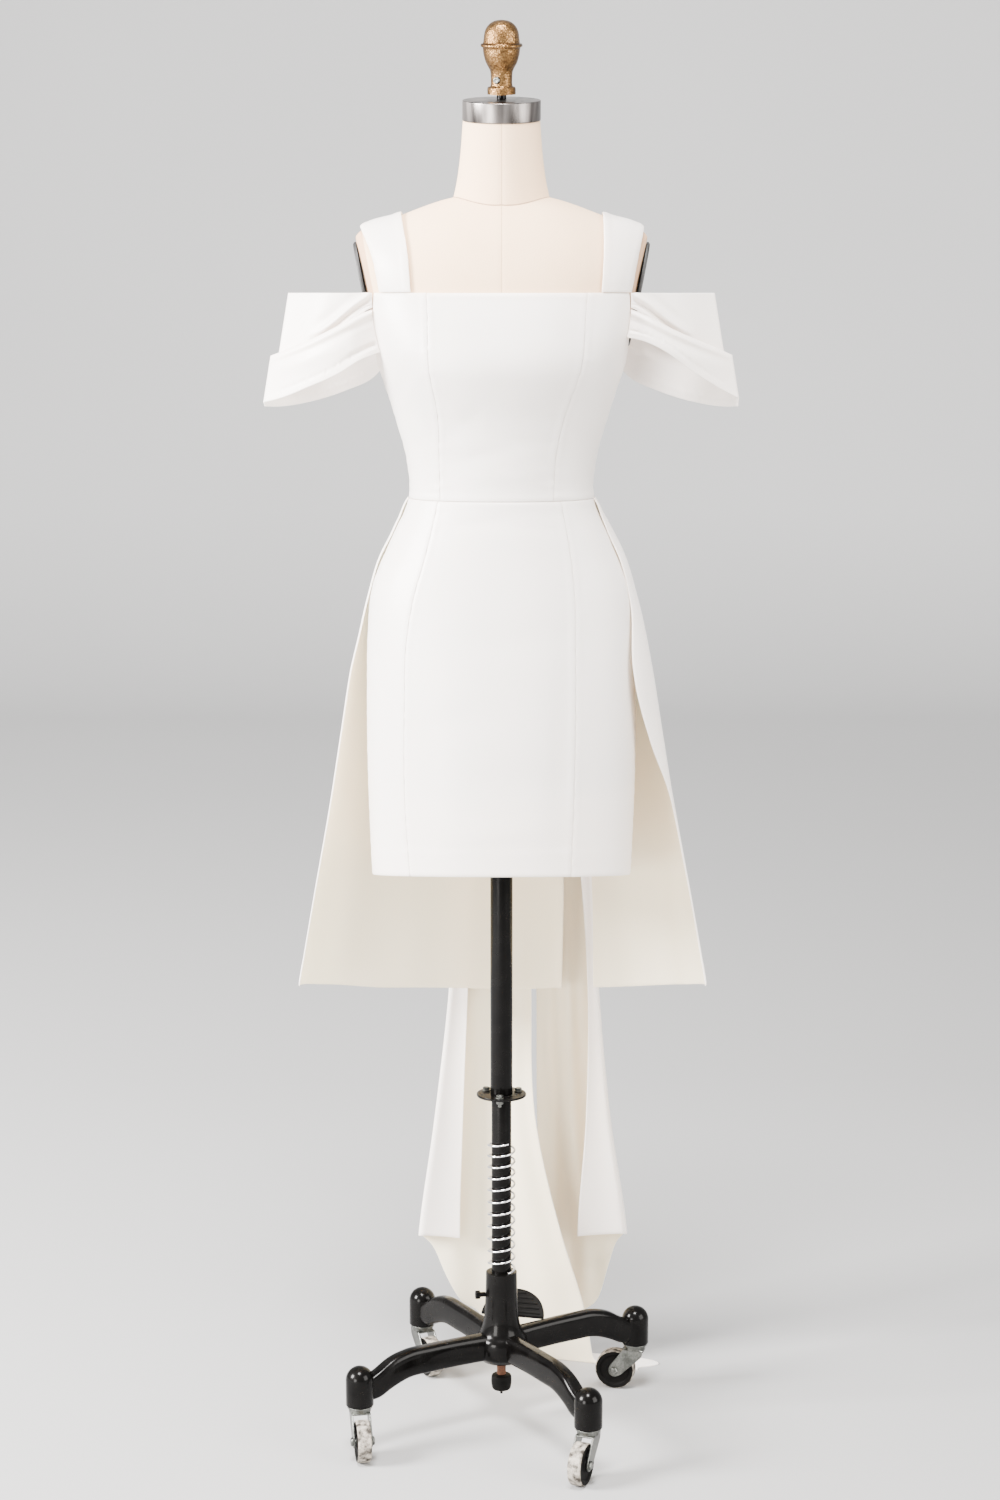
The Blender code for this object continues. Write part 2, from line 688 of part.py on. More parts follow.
def fitted_panel(name, start, stop, low, high, columns, rows):
    """Panel on the body between two angles and two heights, each a function, as a wall."""
    across = np.linspace(0.0, 1.0, columns)[None, :]
    up = np.linspace(0.0, 1.0, rows)[:, None]
    bottom, top = low(across), high(across)
    z = bottom + (top - bottom) * up
    angle = start(z) + (stop(z) - start(z)) * across
    return wall_between(name, section(angle, z, CLEAR), section(angle, z, CLEAR + WALL), "satin")


def neckline(angle_from_side):
    """Top edge of the bodice: level in front and behind, cut down round the arm."""
    share = np.clip(np.degrees(np.abs(angle_from_side)) / ARMHOLE_ANGLE, 0.0, 1.0)
    return UNDERARM_Z + (NECKLINE_Z - UNDERARM_Z) * share**ARMHOLE_POWER


def hem(angle):
    """Hem of the mini skirt, lower towards the back."""
    y = section(angle, np.full(np.shape(angle), 0.75))[..., 1]
    return HEM_FRONT_Z - HEM_FALL * (y - HEM_FRONT_Y)


def side_angle(side, back=False):
    """Angle of the side seam, a hair to the front or to the back of it."""
    hair = 0.00035
    forward = math.pi + hair if side < 0 else -hair
    behind = math.pi - hair if side < 0 else hair
    return behind if back else forward


def make_fitted_panels(prefix, seams, low_z, high_z, top, bottom, rows):
    """Centre front, side fronts and backs of the bodice or of the mini skirt."""
    def seam(side, gap):
        word = "left" if side < 0 else "right"
        return lambda z: angle_in_front(side * (curve(seams, word, z) + gap), z)

    gap = SEAM / 2
    spans = [(prefix + "_front", seam(-1, -gap), seam(1, -gap), 9)]
    for side, word in ((-1, "left"), (1, "right")):
        forward = side_angle(side) if side > 0 else side_angle(side) - 2 * math.pi
        spans.append((prefix + "_side_front_" + word, seam(side, gap), lambda z, a=forward: a + 0 * z, 9))
        behind = side_angle(side, back=True)
        middle = lambda z, s=side: angle_behind(s * gap, z)
        spans.append((prefix + "_back_" + word, lambda z, a=behind: a + 0 * z, middle, 10))
    for name, start, stop, columns in spans:
        def ends(z, across, start=start, stop=stop):
            level = np.full(across.shape, z)
            return start(level) + (stop(level) - start(level)) * across

        def low(across, ends=ends):
            return bottom(ends(low_z, across))

        def high(across, ends=ends):
            return top(ends(high_z, across))

        fitted_panel(name, start, stop, low, high, columns, rows)


def make_bodice():
    def top(angle):
        turn = np.abs(np.arctan2(np.sin(angle), np.cos(angle)))
        return neckline(np.minimum(turn, math.pi - turn))

    def bottom(angle):
        return WAIST_Z + SEAM / 2 + 0 * angle

    make_fitted_panels("bodice", BODICE_SEAMS, WAIST_Z, NECKLINE_Z, top, bottom, 8)


def make_skirt():
    def top(angle):
        return WAIST_Z - SEAM / 2 + 0 * angle

    make_fitted_panels("skirt", SKIRT_SEAMS, 0.75, WAIST_Z, top, hem, 9)


def make_straps():
    """Wide straps over the shoulders, from the neckline in front to the one behind."""
    for side, word in ((-1, "left"), (1, "right")):
        swing = np.radians(np.linspace(0.0, 180.0, 15))
        lift = 0.0005 / (SHOULDER["z"][2] - NECKLINE_Z)
        first = math.asin(lift ** (DOME_POWER / 2))
        swing[0], swing[-1] = first, math.pi - first
        rise = np.abs(power_sin(swing, DOME_POWER))
        inner = curve(STRAPS, word + "_inner", rise, "rise")
        outer = curve(STRAPS, word + "_outer", rise, "rise")
        across = np.linspace(0.0, 1.0, 5)[None, :]
        x = inner[:, None] + (outer - inner)[:, None] * across
        widest = BODY["half_width"][-1] + SIDE_FLARE * rise * (SHOULDER["z"][2] - NECKLINE_Z)
        share = side * np.minimum(x / widest[:, None], 0.985)
        swings = np.broadcast_to(swing[:, None], share.shape)
        wall_between("strap_" + word, dome(share, swings, CLEAR), dome(share, swings, CLEAR + WALL), "satin")


# The dress: overskirt, tails and drapes


def over_point(angle, z):
    """Middle of the overskirt's wall; angle 0 is the +X side, 90 degrees the back."""
    half = curve(OVERSKIRT, "half_width", z)
    back = curve(OVERSKIRT, "back", z)
    front = curve(OVERSKIRT, "front", z)
    wave = FLUTE_DEPTH * ramp(-z, -FLUTE_TOP_Z, -OVER_HEM_BACK_Z) * (1 - np.cos(2 * FLUTES * angle)) / 2
    x = (half - wave * 0.4) * power_cos(angle, OVER_POWER)
    depth = np.where(np.sin(angle) < 0, front, back - wave)
    y = curve(OVERSKIRT, "middle_y", z) + depth * power_sin(angle, OVER_POWER)
    return np.stack([x, y, z], -1)


def over_angle(x, z):
    share = np.clip(np.abs(x) / curve(OVERSKIRT, "half_width", z), 0.0, 1.0)
    turn = np.arccos(share ** (OVER_POWER / 2))
    return np.where(np.asarray(x) < 0, math.pi - turn, turn)


def make_overskirt():
    """Two flared halves from the sides round to the slit behind."""
    up = np.linspace(0.0, 1.0, 12)[:, None]
    across = np.linspace(0.0, 1.0, 13)[None, :]
    top = WAIST_Z - SEAM / 2
    for word in ("left", "right"):
        def limits(z):
            slit = over_angle(curve(SLIT, word + "_edge", z), z)
            if word == "left":
                return slit, np.full(z.shape, math.pi)
            return -np.radians(curve(OVERSKIRT, "right_start", z)), slit

        level = np.full(across.shape, OVER_HEM_SIDE_Z)
        start, stop = limits(level)
        at_hem = start + (stop - start) * across
        swing = np.abs(np.sin(np.maximum(at_hem, 0.0))) ** OVER_HEM_POWER
        drop = OVER_HEM_SIDE_Z - (OVER_HEM_SIDE_Z - OVER_HEM_BACK_Z) * swing
        z = top + (drop - top) * up**0.85
        start, stop = limits(z)
        angle = start + (stop - start) * across
        sheet("overskirt_" + word, over_point(angle, z), "satin")


def tail_path(rows_table, ends, share, along):
    """Back layer of a tail: share 0 at the outer fold to 1 at the inner edge, along 0 at the waist to 1."""
    end_z = curve(ends, "end_z", share, "share")
    run = np.maximum(curve(ends, "run", share, "share"), 0.0)
    end_z = np.maximum(end_z, WALL / 2)
    top = WAIST_Z - SEAM / 2
    lands = end_z < 0.02
    floor = WALL / 2
    bend = np.where(lands, FLOOR_BEND * (math.pi / 2 - 2), 0.0)
    length = top - np.where(lands, floor, end_z) + np.where(lands, run, 0.0) + bend
    gone = length * along
    drop = top - floor - FLOOR_BEND
    on_floor = gone - drop - FLOOR_BEND * math.pi / 2
    turn = np.clip((gone - drop) / FLOOR_BEND, 0.0, math.pi / 2)
    z = np.where(gone < drop, top - gone, floor + FLOOR_BEND * (1 - np.sin(turn)))
    forward = np.where(gone < drop, 0.0, FLOOR_BEND * (1 - np.cos(turn)) + np.maximum(on_floor, 0.0))
    heading = np.radians(curve(ends, "heading", share, "share"))
    return z, forward * np.cos(heading), forward * np.sin(heading)


def seated(x, y, z, off):
    """Depth of a tail: its own lower down, and lying on the overskirt near the waist seam."""
    half = curve(OVERSKIRT, "half_width", z)
    thin = (1 - np.abs(x / half) ** OVER_POWER) ** (1 / OVER_POWER)
    skirt_y = curve(OVERSKIRT, "middle_y", z) + curve(OVERSKIRT, "back", z) * thin
    return y + (skirt_y + off - y) * ramp(z, 1.13, 1.215)


def make_tail(word, rows, ends, lean):
    """A wide streamer with its outer side folded forward; lean brings its inner edge forward or back."""
    flap_columns, back_columns = 3, 10
    along = np.linspace(0.0, 1.0, 18)[:, None]
    share = np.linspace(0.0, 1.0, back_columns)[None, :]
    z, dx, dy = tail_path(rows, ends, share, along)
    fold, inner = curve(rows, "fold", z), curve(rows, "inner", z)
    flap_y, back_y = curve(rows, "flap_y", z), curve(rows, "back_y", z)
    x = fold + (inner - fold) * share + dx
    belly = np.sin(math.pi * share) * 0.010 * ramp(-z, -1.1, -0.5)
    y = back_y + belly + lean * share**2 * ramp(-z, -1.0, -0.3) + dy
    back = np.stack([x, seated(x, y, z, TAIL_SEAT + 0.0024), z], -1)
    to_end = np.linspace(0.0, 1.0, flap_columns, endpoint=False)[None, :]
    top = WAIST_Z - SEAM / 2
    flap_z = top + (FLAP_END_Z - 0.004 * (1 - to_end) - top) * along
    free, fold = curve(rows, "free", flap_z), curve(rows, "fold", flap_z)
    flap_y = curve(rows, "flap_y", flap_z)
    flap_x = free + (fold - free) * to_end
    flap = np.stack([flap_x, seated(flap_x, flap_y, flap_z, TAIL_SEAT), flap_z], -1)
    out = np.sign(fold[:, -1:] - free[:, -1:]) * 0.0035
    bend_z = flap_z[:, :1]
    bend_x = curve(rows, "fold", bend_z) + out
    bend_y = (curve(rows, "flap_y", bend_z) + curve(rows, "back_y", bend_z)) / 2
    bend = np.stack([bend_x, seated(bend_x, bend_y, bend_z, TAIL_SEAT + 0.0012), bend_z], -1)
    sheet("tail_" + word, np.concatenate([flap, bend, back], axis=1), "satin")


def make_tails():
    make_tail("left", TAIL_LEFT, END_LEFT, -0.024)
    make_tail("right", TAIL_RIGHT, END_RIGHT, 0.004)


def bodice_side(y, z):
    """Distance from the middle at which a drape starts on the bodice, at a depth and a height."""
    power = curve(BODY, "power", z)
    out = CLEAR + WALL + SLEEVE_SEAT
    depth = np.where(y < 0, curve(BODY, "front", z), curve(BODY, "back", z)) + out
    return (curve(BODY, "half_width", z) + out) * (1 - np.abs(y / depth) ** power) ** (1 / power)


def make_sleeves():
    """Two-tier off-shoulder drapes: each tier runs from the front armhole out to a crease and back."""
    around = np.linspace(-1.0, 1.0, 15)[None, :]  # -1 front armhole, 0 crease, 1 back armhole
    down = np.linspace(0.0, 1.0, 5)[:, None]
    out = 1 - np.abs(around)
    behind = around > 0
    for side, word in ((-1, "left"), (1, "right")):
        for tier in ("upper", "lower"):
            crease = UPPER_CREASE_X if tier == "upper" else LOWER_CREASE_X
            plain_x = SLEEVE_START_X + (crease - SLEEVE_START_X) * out
            fold_z = curve(SLEEVE_X, "fold_" + word, plain_x, "x")
            if tier == "upper":
                high = NECKLINE_Z - 0.0002 + 0 * plain_x
                low = fold_z + 0.0015 - UNDERLAP * ramp(out, 0.05, 0.35)
            else:
                high = fold_z
                front_z = curve(SLEEVE_X, "front_" + word, plain_x, "x")
                back_z = curve(SLEEVE_X, "back", plain_x, "x")
                low = np.where(behind, back_z, front_z)
            z = high + (low - high) * down
            fall = NECKLINE_Z - z if tier == "upper" else 1.408 - z
            seat = bodice_side(np.where(behind, SLEEVE_START_Y, -SLEEVE_START_Y), z)
            x = plain_x + CREASE_SLOPE * fall * out + (seat - SLEEVE_START_X) * (1 - out)
            proud = 0.000 if tier == "upper" else 0.0065
            bulge = (0.006 if tier == "upper" else 0.012) * np.sin(math.pi * out)
            depth = SLEEVE_START_Y * (1 - out**1.6) + (bulge + proud * ramp(out, 0.0, 0.25)) * (1 - out**6)
            y = np.where(behind, depth, -depth) + 0 * z
            sheet("sleeve_" + tier + "_" + word, np.stack([side * x, y, z], -1), "satin")


# The stand


def make_pole():
    """Upper and lower tube, the collar between them with its bolts, and the coil spring."""
    low = COLLAR_Z + COLLAR_THICK + SEAM
    place("pole_upper", rod("pole_upper", UPPER_POLE_RADIUS, low, FORM_BOTTOM_Z + POLE_IN_FORM, 24), "black_paint")
    collar = place("collar", rod("collar", COLLAR_RADIUS, COLLAR_Z, COLLAR_Z + COLLAR_THICK, 28), "black_paint")
    place("pole_lower", rod("pole_lower", LOWER_POLE_RADIUS, POLE_IN_HUB_Z, COLLAR_Z - SEAM, 24), "black_paint")
    top = COLLAR_Z + COLLAR_THICK + SEAM
    foot = COLLAR_Z - SEAM
    bolt = (
        (0.0, top + 0.0040), (0.0045, top + 0.0040), (0.0045, top), (0.0022, top),
        (0.0022, foot), (0.0045, foot), (0.0045, foot - 0.0045), (0.0, foot - 0.0045),
    )
    for i, angle in enumerate(BOLT_ANGLES, start=1):
        where = polar(BOLT_CIRCLE, angle)
        hole = rod("bolt_hole_" + str(i), 0.0028, COLLAR_Z - 0.002, COLLAR_Z + COLLAR_THICK + 0.002, 12)
        combine(collar, helper("bolt_hole_" + str(i), hole, None, where), "DIFFERENCE")
        turned("collar_bolt_" + str(i), bolt, 6, "zinc", None, where)
    make_spring()


def make_spring():
    """Coil spring standing on the hub, its two top turns closer than the rest."""
    line = bpy.data.curves.new("height_spring", "CURVE")
    line.dimensions = "3D"
    line.bevel_depth = SPRING_WIRE
    line.bevel_resolution = 2
    line.use_fill_caps = True
    count = SPRING_TURNS * SPRING_POINTS + 1
    spline = line.splines.new("POLY")
    spline.points.add(count - 1)
    low = HUB_TOP_Z + SPRING_WIRE + SEAM
    high = SPRING_TOP_Z - SPRING_WIRE
    for i in range(count):
        share = i / (count - 1)
        angle = math.radians(-60.0) + math.tau * SPRING_TURNS * share
        rise = share + 0.035 * math.sin(math.pi * share) * share
        z = low + (high - low) * min(rise, 1.0)
        x, y, _ = polar(SPRING_RADIUS, math.degrees(angle))
        spline.points[i].co = (x, y, z, 1.0)
    obj = bpy.data.objects.new("height_spring", line)
    line.materials.append(MATERIALS["chrome"])
    PARTS.objects.link(obj)
    obj.parent = FOOT


def make_arm():
    """One arm of the foot along +X, lofted through eight-sided sections."""
    rings = []
    for reach in (0.010, 0.045, 0.110, 0.145, 0.162, 0.178, 0.192, 0.207):
        z = curve(ARM, "middle_z", reach, "reach")
        high = curve(ARM, "half_height", reach, "reach")
        wide = curve(ARM, "half_width", reach, "reach")
        corner = 0.4
        outline = [
            (wide, -high * corner), (wide, high * corner), (wide * corner, high), (-wide * corner, high),
            (-wide, high * corner), (-wide, -high * corner), (-wide * 0.7, -high), (wide * 0.7, -high),
        ]
        rings.append([(reach, across, z + up) for across, up in outline])
    return loft("arm", rings)


def make_socket_profile():
    """Domed caster socket, top first."""
    profile = []
    for i in range(SOCKET_PROFILE_STEPS + 1):
        a = math.radians(90.0 - 90.0 * i / SOCKET_PROFILE_STEPS)
        profile.append((SOCKET_RADIUS * math.cos(a) if i else 0.0, SOCKET_DOME_Z + SOCKET_RADIUS * math.sin(a)))
    profile += [(SOCKET_RADIUS, SOCKET_BOTTOM_Z), (0.0, SOCKET_BOTTOM_Z)]
    return tuple(profile)


def make_base():
    """Hub, four humped arms, caster sockets and the ears of the pedal, joined into one casting."""
    base = turned("base", HUB_PROFILE, 20, "black_paint")
    arm = make_arm()
    for angle, corner in zip(ARM_ANGLES, CORNERS):
        turn = (0.0, 0.0, math.radians(angle))
        combine(base, helper("arm_" + corner, arm, None, (0, 0, 0), turn), "UNION")
        where = polar(SOCKET_CIRCLE, angle)
        socket = turned("socket_" + corner, make_socket_profile(), 14, None, None, where, is_helper=True)
        combine(base, socket, "UNION")
    turn = (0.0, 0.0, math.radians(PEDAL_ANGLE))
    for side in (-1, 1):
        low, high = sorted((side * EAR_INSIDE, side * (EAR_INSIDE + EAR_THICK)))
        ear = block("pedal_ear_" + str(side), (0.012, low, 0.0945), (PEDAL_PIVOT_RADIUS + 0.006, high, 0.1100))
        combine(base, helper("pedal_ear_" + str(side + 2), ear, None, (0, 0, 0), turn), "UNION")
    bore = rod("hub_bore", LOWER_POLE_RADIUS + SEAM, POLE_IN_HUB_Z - SEAM, HUB_TOP_Z + 0.02, 24)
    combine(base, helper("hub_bore", bore), "DIFFERENCE")


def make_small_pieces():
    """Locking screw, the rod under the hub and its rubber stopper."""
    reach = 0.0212 + SEAM
    screw = (
        (0.0, 0.0135), (0.0055, 0.0135), (0.0055, 0.0075), (0.0032, 0.0075), (0.0032, 0.0), (0.0, 0.0),
    )
    turn = (0.0, math.pi / 2, math.radians(190.0))
    turned("lock_screw", screw, 8, "black_paint", None, polar(reach, 190.0, LOCK_SCREW_Z), turn)
    turned("release_rod", ROD_PROFILE, 14, "rust")
    turned("stopper", STOPPER_PROFILE, 18, "rubber")


def make_pedal():
    """Ribbed foot pedal: half-moon pad on a lever, hinged between the ears of the hub."""
    pivot = bpy.data.objects.new("pedal_axis", None)
    PARTS.objects.link(pivot)
    pivot.parent = FOOT
    pivot.location = polar(PEDAL_PIVOT_RADIUS, PEDAL_ANGLE, PEDAL_PIVOT_Z)
    pivot.rotation_euler = (0.0, -PEDAL_RISE, math.radians(PEDAL_ANGLE))
    turns = np.radians(np.linspace(90.0, -90.0, 13))
    depth = PEDAL_REACH - PEDAL_FLAT
    rim = [(PEDAL_FLAT + depth * math.cos(t), PEDAL_HALF_WIDTH * math.sin(t)) for t in turns]
    rings = [[(x, y, z) for x, y in rim] for z in (0.002, 0.008)]
    pedal = place("pedal", loft("pedal", rings), "rubber", pivot)
    lever = block("pedal_lever", (0.0, -0.0060, -0.004), (0.040, 0.0060, 0.004))
    combine(pedal, helper("pedal_lever", lever, pivot), "UNION")
    barrel = rod("pedal_barrel", 0.0055, -EAR_INSIDE + SEAM, EAR_INSIDE - SEAM, 14)
    combine(pedal, helper("pedal_barrel", barrel, pivot, (0, 0, 0), (math.pi / 2, 0, 0)), "UNION")
    for i in range(5):
        x = PEDAL_FLAT + 0.005 + 0.0075 * i
        half = PEDAL_HALF_WIDTH * math.sqrt(1 - ((x + 0.0035 - PEDAL_FLAT) / depth) ** 2) - 0.004
        rib = block("pedal_rib_" + str(i), (x - 0.0015, -half, 0.006), (x + 0.0015, half, 0.0095))
        combine(pedal, helper("pedal_rib_" + str(i), rib, pivot), "UNION")


def make_fork_mesh(parent):
    """Shapes of one caster fork about its swivel axis, the wheel trailing along +X."""
    crown = ((0.0, FORK_TOP_Z), (0.0165, FORK_TOP_Z), (0.0165, FORK_TOP_Z - 0.0025),
             (0.0145, FORK_TOP_Z - 0.0030), (0.0145, FORK_CROWN_Z + 0.001), (0.0, FORK_CROWN_Z + 0.001))
    outer = FORK_INSIDE + FORK_PLATE
    bridge = block("fork_bridge", (-0.0125, -outer, FORK_CROWN_Z), (0.0150, outer, FORK_CROWN_Z + FORK_PLATE))
    outline = (
        (-0.0120, FORK_CROWN_Z + FORK_PLATE), (-0.0115, 0.0500), (0.0185, 0.0215), (0.0270, 0.0195),
        (0.0335, 0.0235), (0.0340, 0.0320), (0.0145, FORK_CROWN_Z + FORK_PLATE),
    )
    return crown, bridge, outline


def make_caster(corner, angle, heading):
    """Fork, axle and wheel of one caster on its swivel axis."""
    swivel = bpy.data.objects.new("swivel_" + corner, None)
    PARTS.objects.link(swivel)
    swivel.parent = FOOT
    swivel.location = polar(SOCKET_CIRCLE, angle)
    swivel.rotation_euler = (0.0, 0.0, math.radians(heading))
    crown, bridge, outline = make_fork_mesh(swivel)
    fork = turned("fork_" + corner, crown, 12, "zinc", swivel)
    combine(fork, helper("bridge_" + corner, bridge, swivel), "UNION")
    for side in (-1, 1):
        low, high = sorted((side * FORK_INSIDE, side * (FORK_INSIDE + FORK_PLATE)))
        cheek = slab("cheek", outline, low, high)
        combine(fork, helper("cheek_" + corner + str(side + 2), cheek, swivel), "UNION")
    at = (TRAIL, 0.0, AXLE_Z)
    lie = (math.pi / 2, 0.0, 0.0)
    hole = rod("axle_hole", AXLE_RADIUS + SEAM, -0.02, 0.02, 12)
    combine(fork, helper("axle_hole_" + corner, hole, swivel, at, lie), "DIFFERENCE")
    end = FORK_INSIDE + FORK_PLATE + SEAM
    axle = ((0.0, end + 0.0025), (0.0058, end + 0.0025), (0.0058, end), (AXLE_RADIUS, end),
            (AXLE_RADIUS, -end), (0.0058, -end), (0.0058, -end - 0.0025), (0.0, -end - 0.0025))
    turned("axle_" + corner, axle, 10, "zinc", swivel, at, lie)
    wide = WHEEL_HALF_WIDTH
    bore = AXLE_RADIUS + SEAM
    profile = (
        (bore, wide), (0.0085, wide), (0.0200, wide - 0.002), (0.0212, wide),
        (WHEEL_RADIUS, wide - 0.0012), (WHEEL_RADIUS, 0.0012 - wide), (0.0212, -wide),
        (0.0200, 0.002 - wide), (0.0085, -wide), (bore, -wide),
    )
    phase = math.pi / 2 + math.pi / WHEEL_SIDES
    place("wheel_" + corner, turned_ring("wheel_" + corner, profile, WHEEL_SIDES, phase), "rubber", swivel, at, lie)


def make_stand():
    make_pole()
    make_base()
    make_small_pieces()
    make_pedal()
    for corner, angle, heading in zip(CORNERS, ARM_ANGLES, HEADINGS):
        make_caster(corner, angle, heading)


def main():
    make_form_body()
    make_armhole_plates()
    make_head_pieces()
    make_bodice()
    make_skirt()
    make_straps()
    make_overskirt()
    make_tails()
    make_sleeves()
    make_stand()


main()
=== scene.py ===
import math

import bmesh
import bpy
import numpy as np
from mathutils import Euler, Matrix, Vector

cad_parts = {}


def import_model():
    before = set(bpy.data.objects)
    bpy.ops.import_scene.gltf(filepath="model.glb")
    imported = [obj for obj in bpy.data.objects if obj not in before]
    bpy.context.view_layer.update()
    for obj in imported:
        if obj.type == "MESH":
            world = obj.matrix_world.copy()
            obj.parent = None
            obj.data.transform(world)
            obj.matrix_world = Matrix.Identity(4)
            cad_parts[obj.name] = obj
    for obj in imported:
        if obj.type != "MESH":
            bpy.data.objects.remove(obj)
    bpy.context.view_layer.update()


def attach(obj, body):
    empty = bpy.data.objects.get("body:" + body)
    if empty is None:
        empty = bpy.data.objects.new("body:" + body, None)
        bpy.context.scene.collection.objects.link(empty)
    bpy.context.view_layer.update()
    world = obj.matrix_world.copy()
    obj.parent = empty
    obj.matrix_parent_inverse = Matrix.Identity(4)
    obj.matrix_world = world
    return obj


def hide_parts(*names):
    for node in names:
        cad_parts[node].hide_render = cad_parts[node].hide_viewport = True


bl_info = {
    "name": "Off-shoulder dress on a dress form",
    "version": (1, 0, 0),
    "blender": (4, 5, 0),
    "location": "3D View > Sidebar > Dress",
    "description": "Adds an ivory mini dress with overskirt, drapes and tails, on its form and caster stand",
    "category": "Add Mesh",
}

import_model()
CORNERS = ("front_left", "front_right", "back_right", "back_left")

# Where the pole stands in the plan; every other size is counted from the pole.
POLE_Y = -0.0125

# Cloth
CLEAR = 0.0010
SEAM = 0.0003
WAIST_Z = 1.2310
NECKLINE_Z = 1.4870
UNDERARM_Z = 1.4040
HEM_FRONT_Z = 0.7640
HEM_FRONT_Y = -0.115
HEM_FALL = 0.175
ARMHOLE_ANGLE = 27.0
ARMHOLE_POWER = 2.6
OVER_HEM_SIDE_Z = 0.588
OVER_HEM_BACK_Z = 0.540
OVER_HEM_POWER = 1.2
OVER_POWER = 2.1
FLUTES = 5.0
FLUTE_DEPTH = 0.006
FLUTE_TOP_Z = 1.02

# Form
FORM_BOTTOM_Z = 0.860
FORM_EASE = 0.0012
DOME_POWER = 2.2
SIDE_FLARE = 0.20
ARM_PLANE_X = 0.1690
PLATE_HALF_HEIGHT = 0.066
PLATE_HALF_WIDTH = 0.034
PLATE_THICK = 0.004
PLATE_Z = 1.485
NECK_FOOT = (0.0, 0.004, 1.575)
NECK_TOP = (0.0, -0.012, 1.6975)
NECK_LEAN = math.radians(9.0)
CAP_RADIUS = 0.0487
CAP_HEIGHT = 0.0245

# Stand
UPPER_POLE_RADIUS = 0.0145
LOWER_POLE_RADIUS = 0.0130
COLLAR_Z = 0.4480
COLLAR_RADIUS = 0.0325
COLLAR_THICK = 0.0030
BOLT_CIRCLE = 0.0245
BOLT_ANGLES = (265.0, 25.0, 145.0)
HUB_TOP_Z = 0.2070
SPRING_RADIUS = 0.0172
SPRING_WIRE = 0.0014
SPRING_TOP_Z = 0.3870
SPRING_TURNS = 11
ARM_ANGLES = (211.0, 301.0, 31.0, 121.0)
HEADINGS = (280.0, 248.0, 167.0, 295.0)
SOCKET_CIRCLE = 0.2139
SOCKET_RADIUS = 0.0181
SOCKET_DOME_Z = 0.1000
SOCKET_BOTTOM_Z = 0.0660
LOCK_SCREW_Z = 0.1765
TRAIL = 0.0270
WHEEL_RADIUS = 0.0278
AXLE_Z = WHEEL_RADIUS * math.cos(math.pi / 16)
FORK_INSIDE = 0.0105
FORK_PLATE = 0.0020
FORK_CROWN_Z = 0.0568
PEDAL_ANGLE = 76.0
PEDAL_PIVOT_RADIUS = 0.0440
PEDAL_PIVOT_Z = 0.1030
PEDAL_RISE = math.radians(38.0)
PEDAL_FLAT = 0.026
PEDAL_REACH = 0.068
PEDAL_HALF_WIDTH = 0.043


def table(columns, *rows):
    """A short table: the name of each column, and one row for each section."""
    names = columns.split()
    return {name: np.array([row[i] for row in rows], float) for i, name in enumerate(names)}


BODY = table(
    "z half_width front back power",
    (0.700, 0.1610, 0.110, 0.103, 2.25),
    (0.800, 0.1662, 0.112, 0.109, 2.25),
    (0.900, 0.1690, 0.112, 0.115, 2.25),
    (1.000, 0.1690, 0.109, 0.121, 2.25),
    (1.060, 0.1675, 0.105, 0.120, 2.20),
    (1.120, 0.1610, 0.099, 0.110, 2.15),
    (1.180, 0.1365, 0.091, 0.094, 2.10),
    (1.231, 0.1145, 0.084, 0.080, 2.10),
    (1.278, 0.1168, 0.088, 0.081, 2.10),
    (1.330, 0.1305, 0.099, 0.089, 2.20),
    (1.388, 0.1492, 0.115, 0.097, 2.30),
    (1.420, 0.1590, 0.117, 0.101, 2.35),
    (1.450, 0.1665, 0.112, 0.104, 2.40),
    (1.487, 0.1720, 0.100, 0.106, 2.40),
)
SHOULDER = table(
    "share z", (0.00, 1.6120), (0.32, 1.6050), (0.67, 1.5830), (0.96, 1.5625), (1.00, 1.5560),
)
BODICE_SEAMS = table(
    "z left right",
    (1.231, 0.0755, 0.0640),
    (1.285, 0.0765, 0.0665),
    (1.340, 0.0785, 0.0785),
    (1.390, 0.0855, 0.0935),
    (1.487, 0.0910, 0.1045),
)
SKIRT_SEAMS = table(
    "z left right",
    (0.730, 0.1120, 0.0850),
    (0.850, 0.1205, 0.0900),
    (0.980, 0.1205, 0.0920),
    (1.050, 0.1185, 0.0915),
    (1.110, 0.1090, 0.0905),
    (1.165, 0.0935, 0.0850),
    (1.231, 0.0780, 0.0730),
)
STRAPS = table(
    "rise left_inner left_outer right_inner right_outer",
    (0.0, 0.110, 0.1490, 0.1215, 0.1590),
    (0.5, 0.114, 0.1590, 0.1240, 0.1680),
    (1.0, 0.123, 0.1770, 0.1240, 0.1785),
)
OVERSKIRT = table(
    "z half_width back front middle_y right_start",
    (0.530, 0.2770, 0.1800, 0.150, 0.031, 0.0),
    (0.587, 0.2680, 0.1780, 0.145, 0.030, 0.0),
    (0.700, 0.2480, 0.1740, 0.135, 0.025, 0.0),
    (0.835, 0.2225, 0.1680, 0.126, 0.018, 8.0),
    (0.924, 0.2075, 0.1610, 0.120, 0.012, 24.0),
    (1.020, 0.1915, 0.1510, 0.114, 0.007, 30.0),
    (1.100, 0.1745, 0.1360, 0.109, 0.003, 18.0),
    (1.170, 0.1525, 0.1120, 0.098, 0.001, 14.0),
    (1.195, 0.1400, 0.1010, 0.094, 0.000, 12.0),
    (1.231, 0.1184, 0.0839, 0.0879, 0.000, 8.0),
)
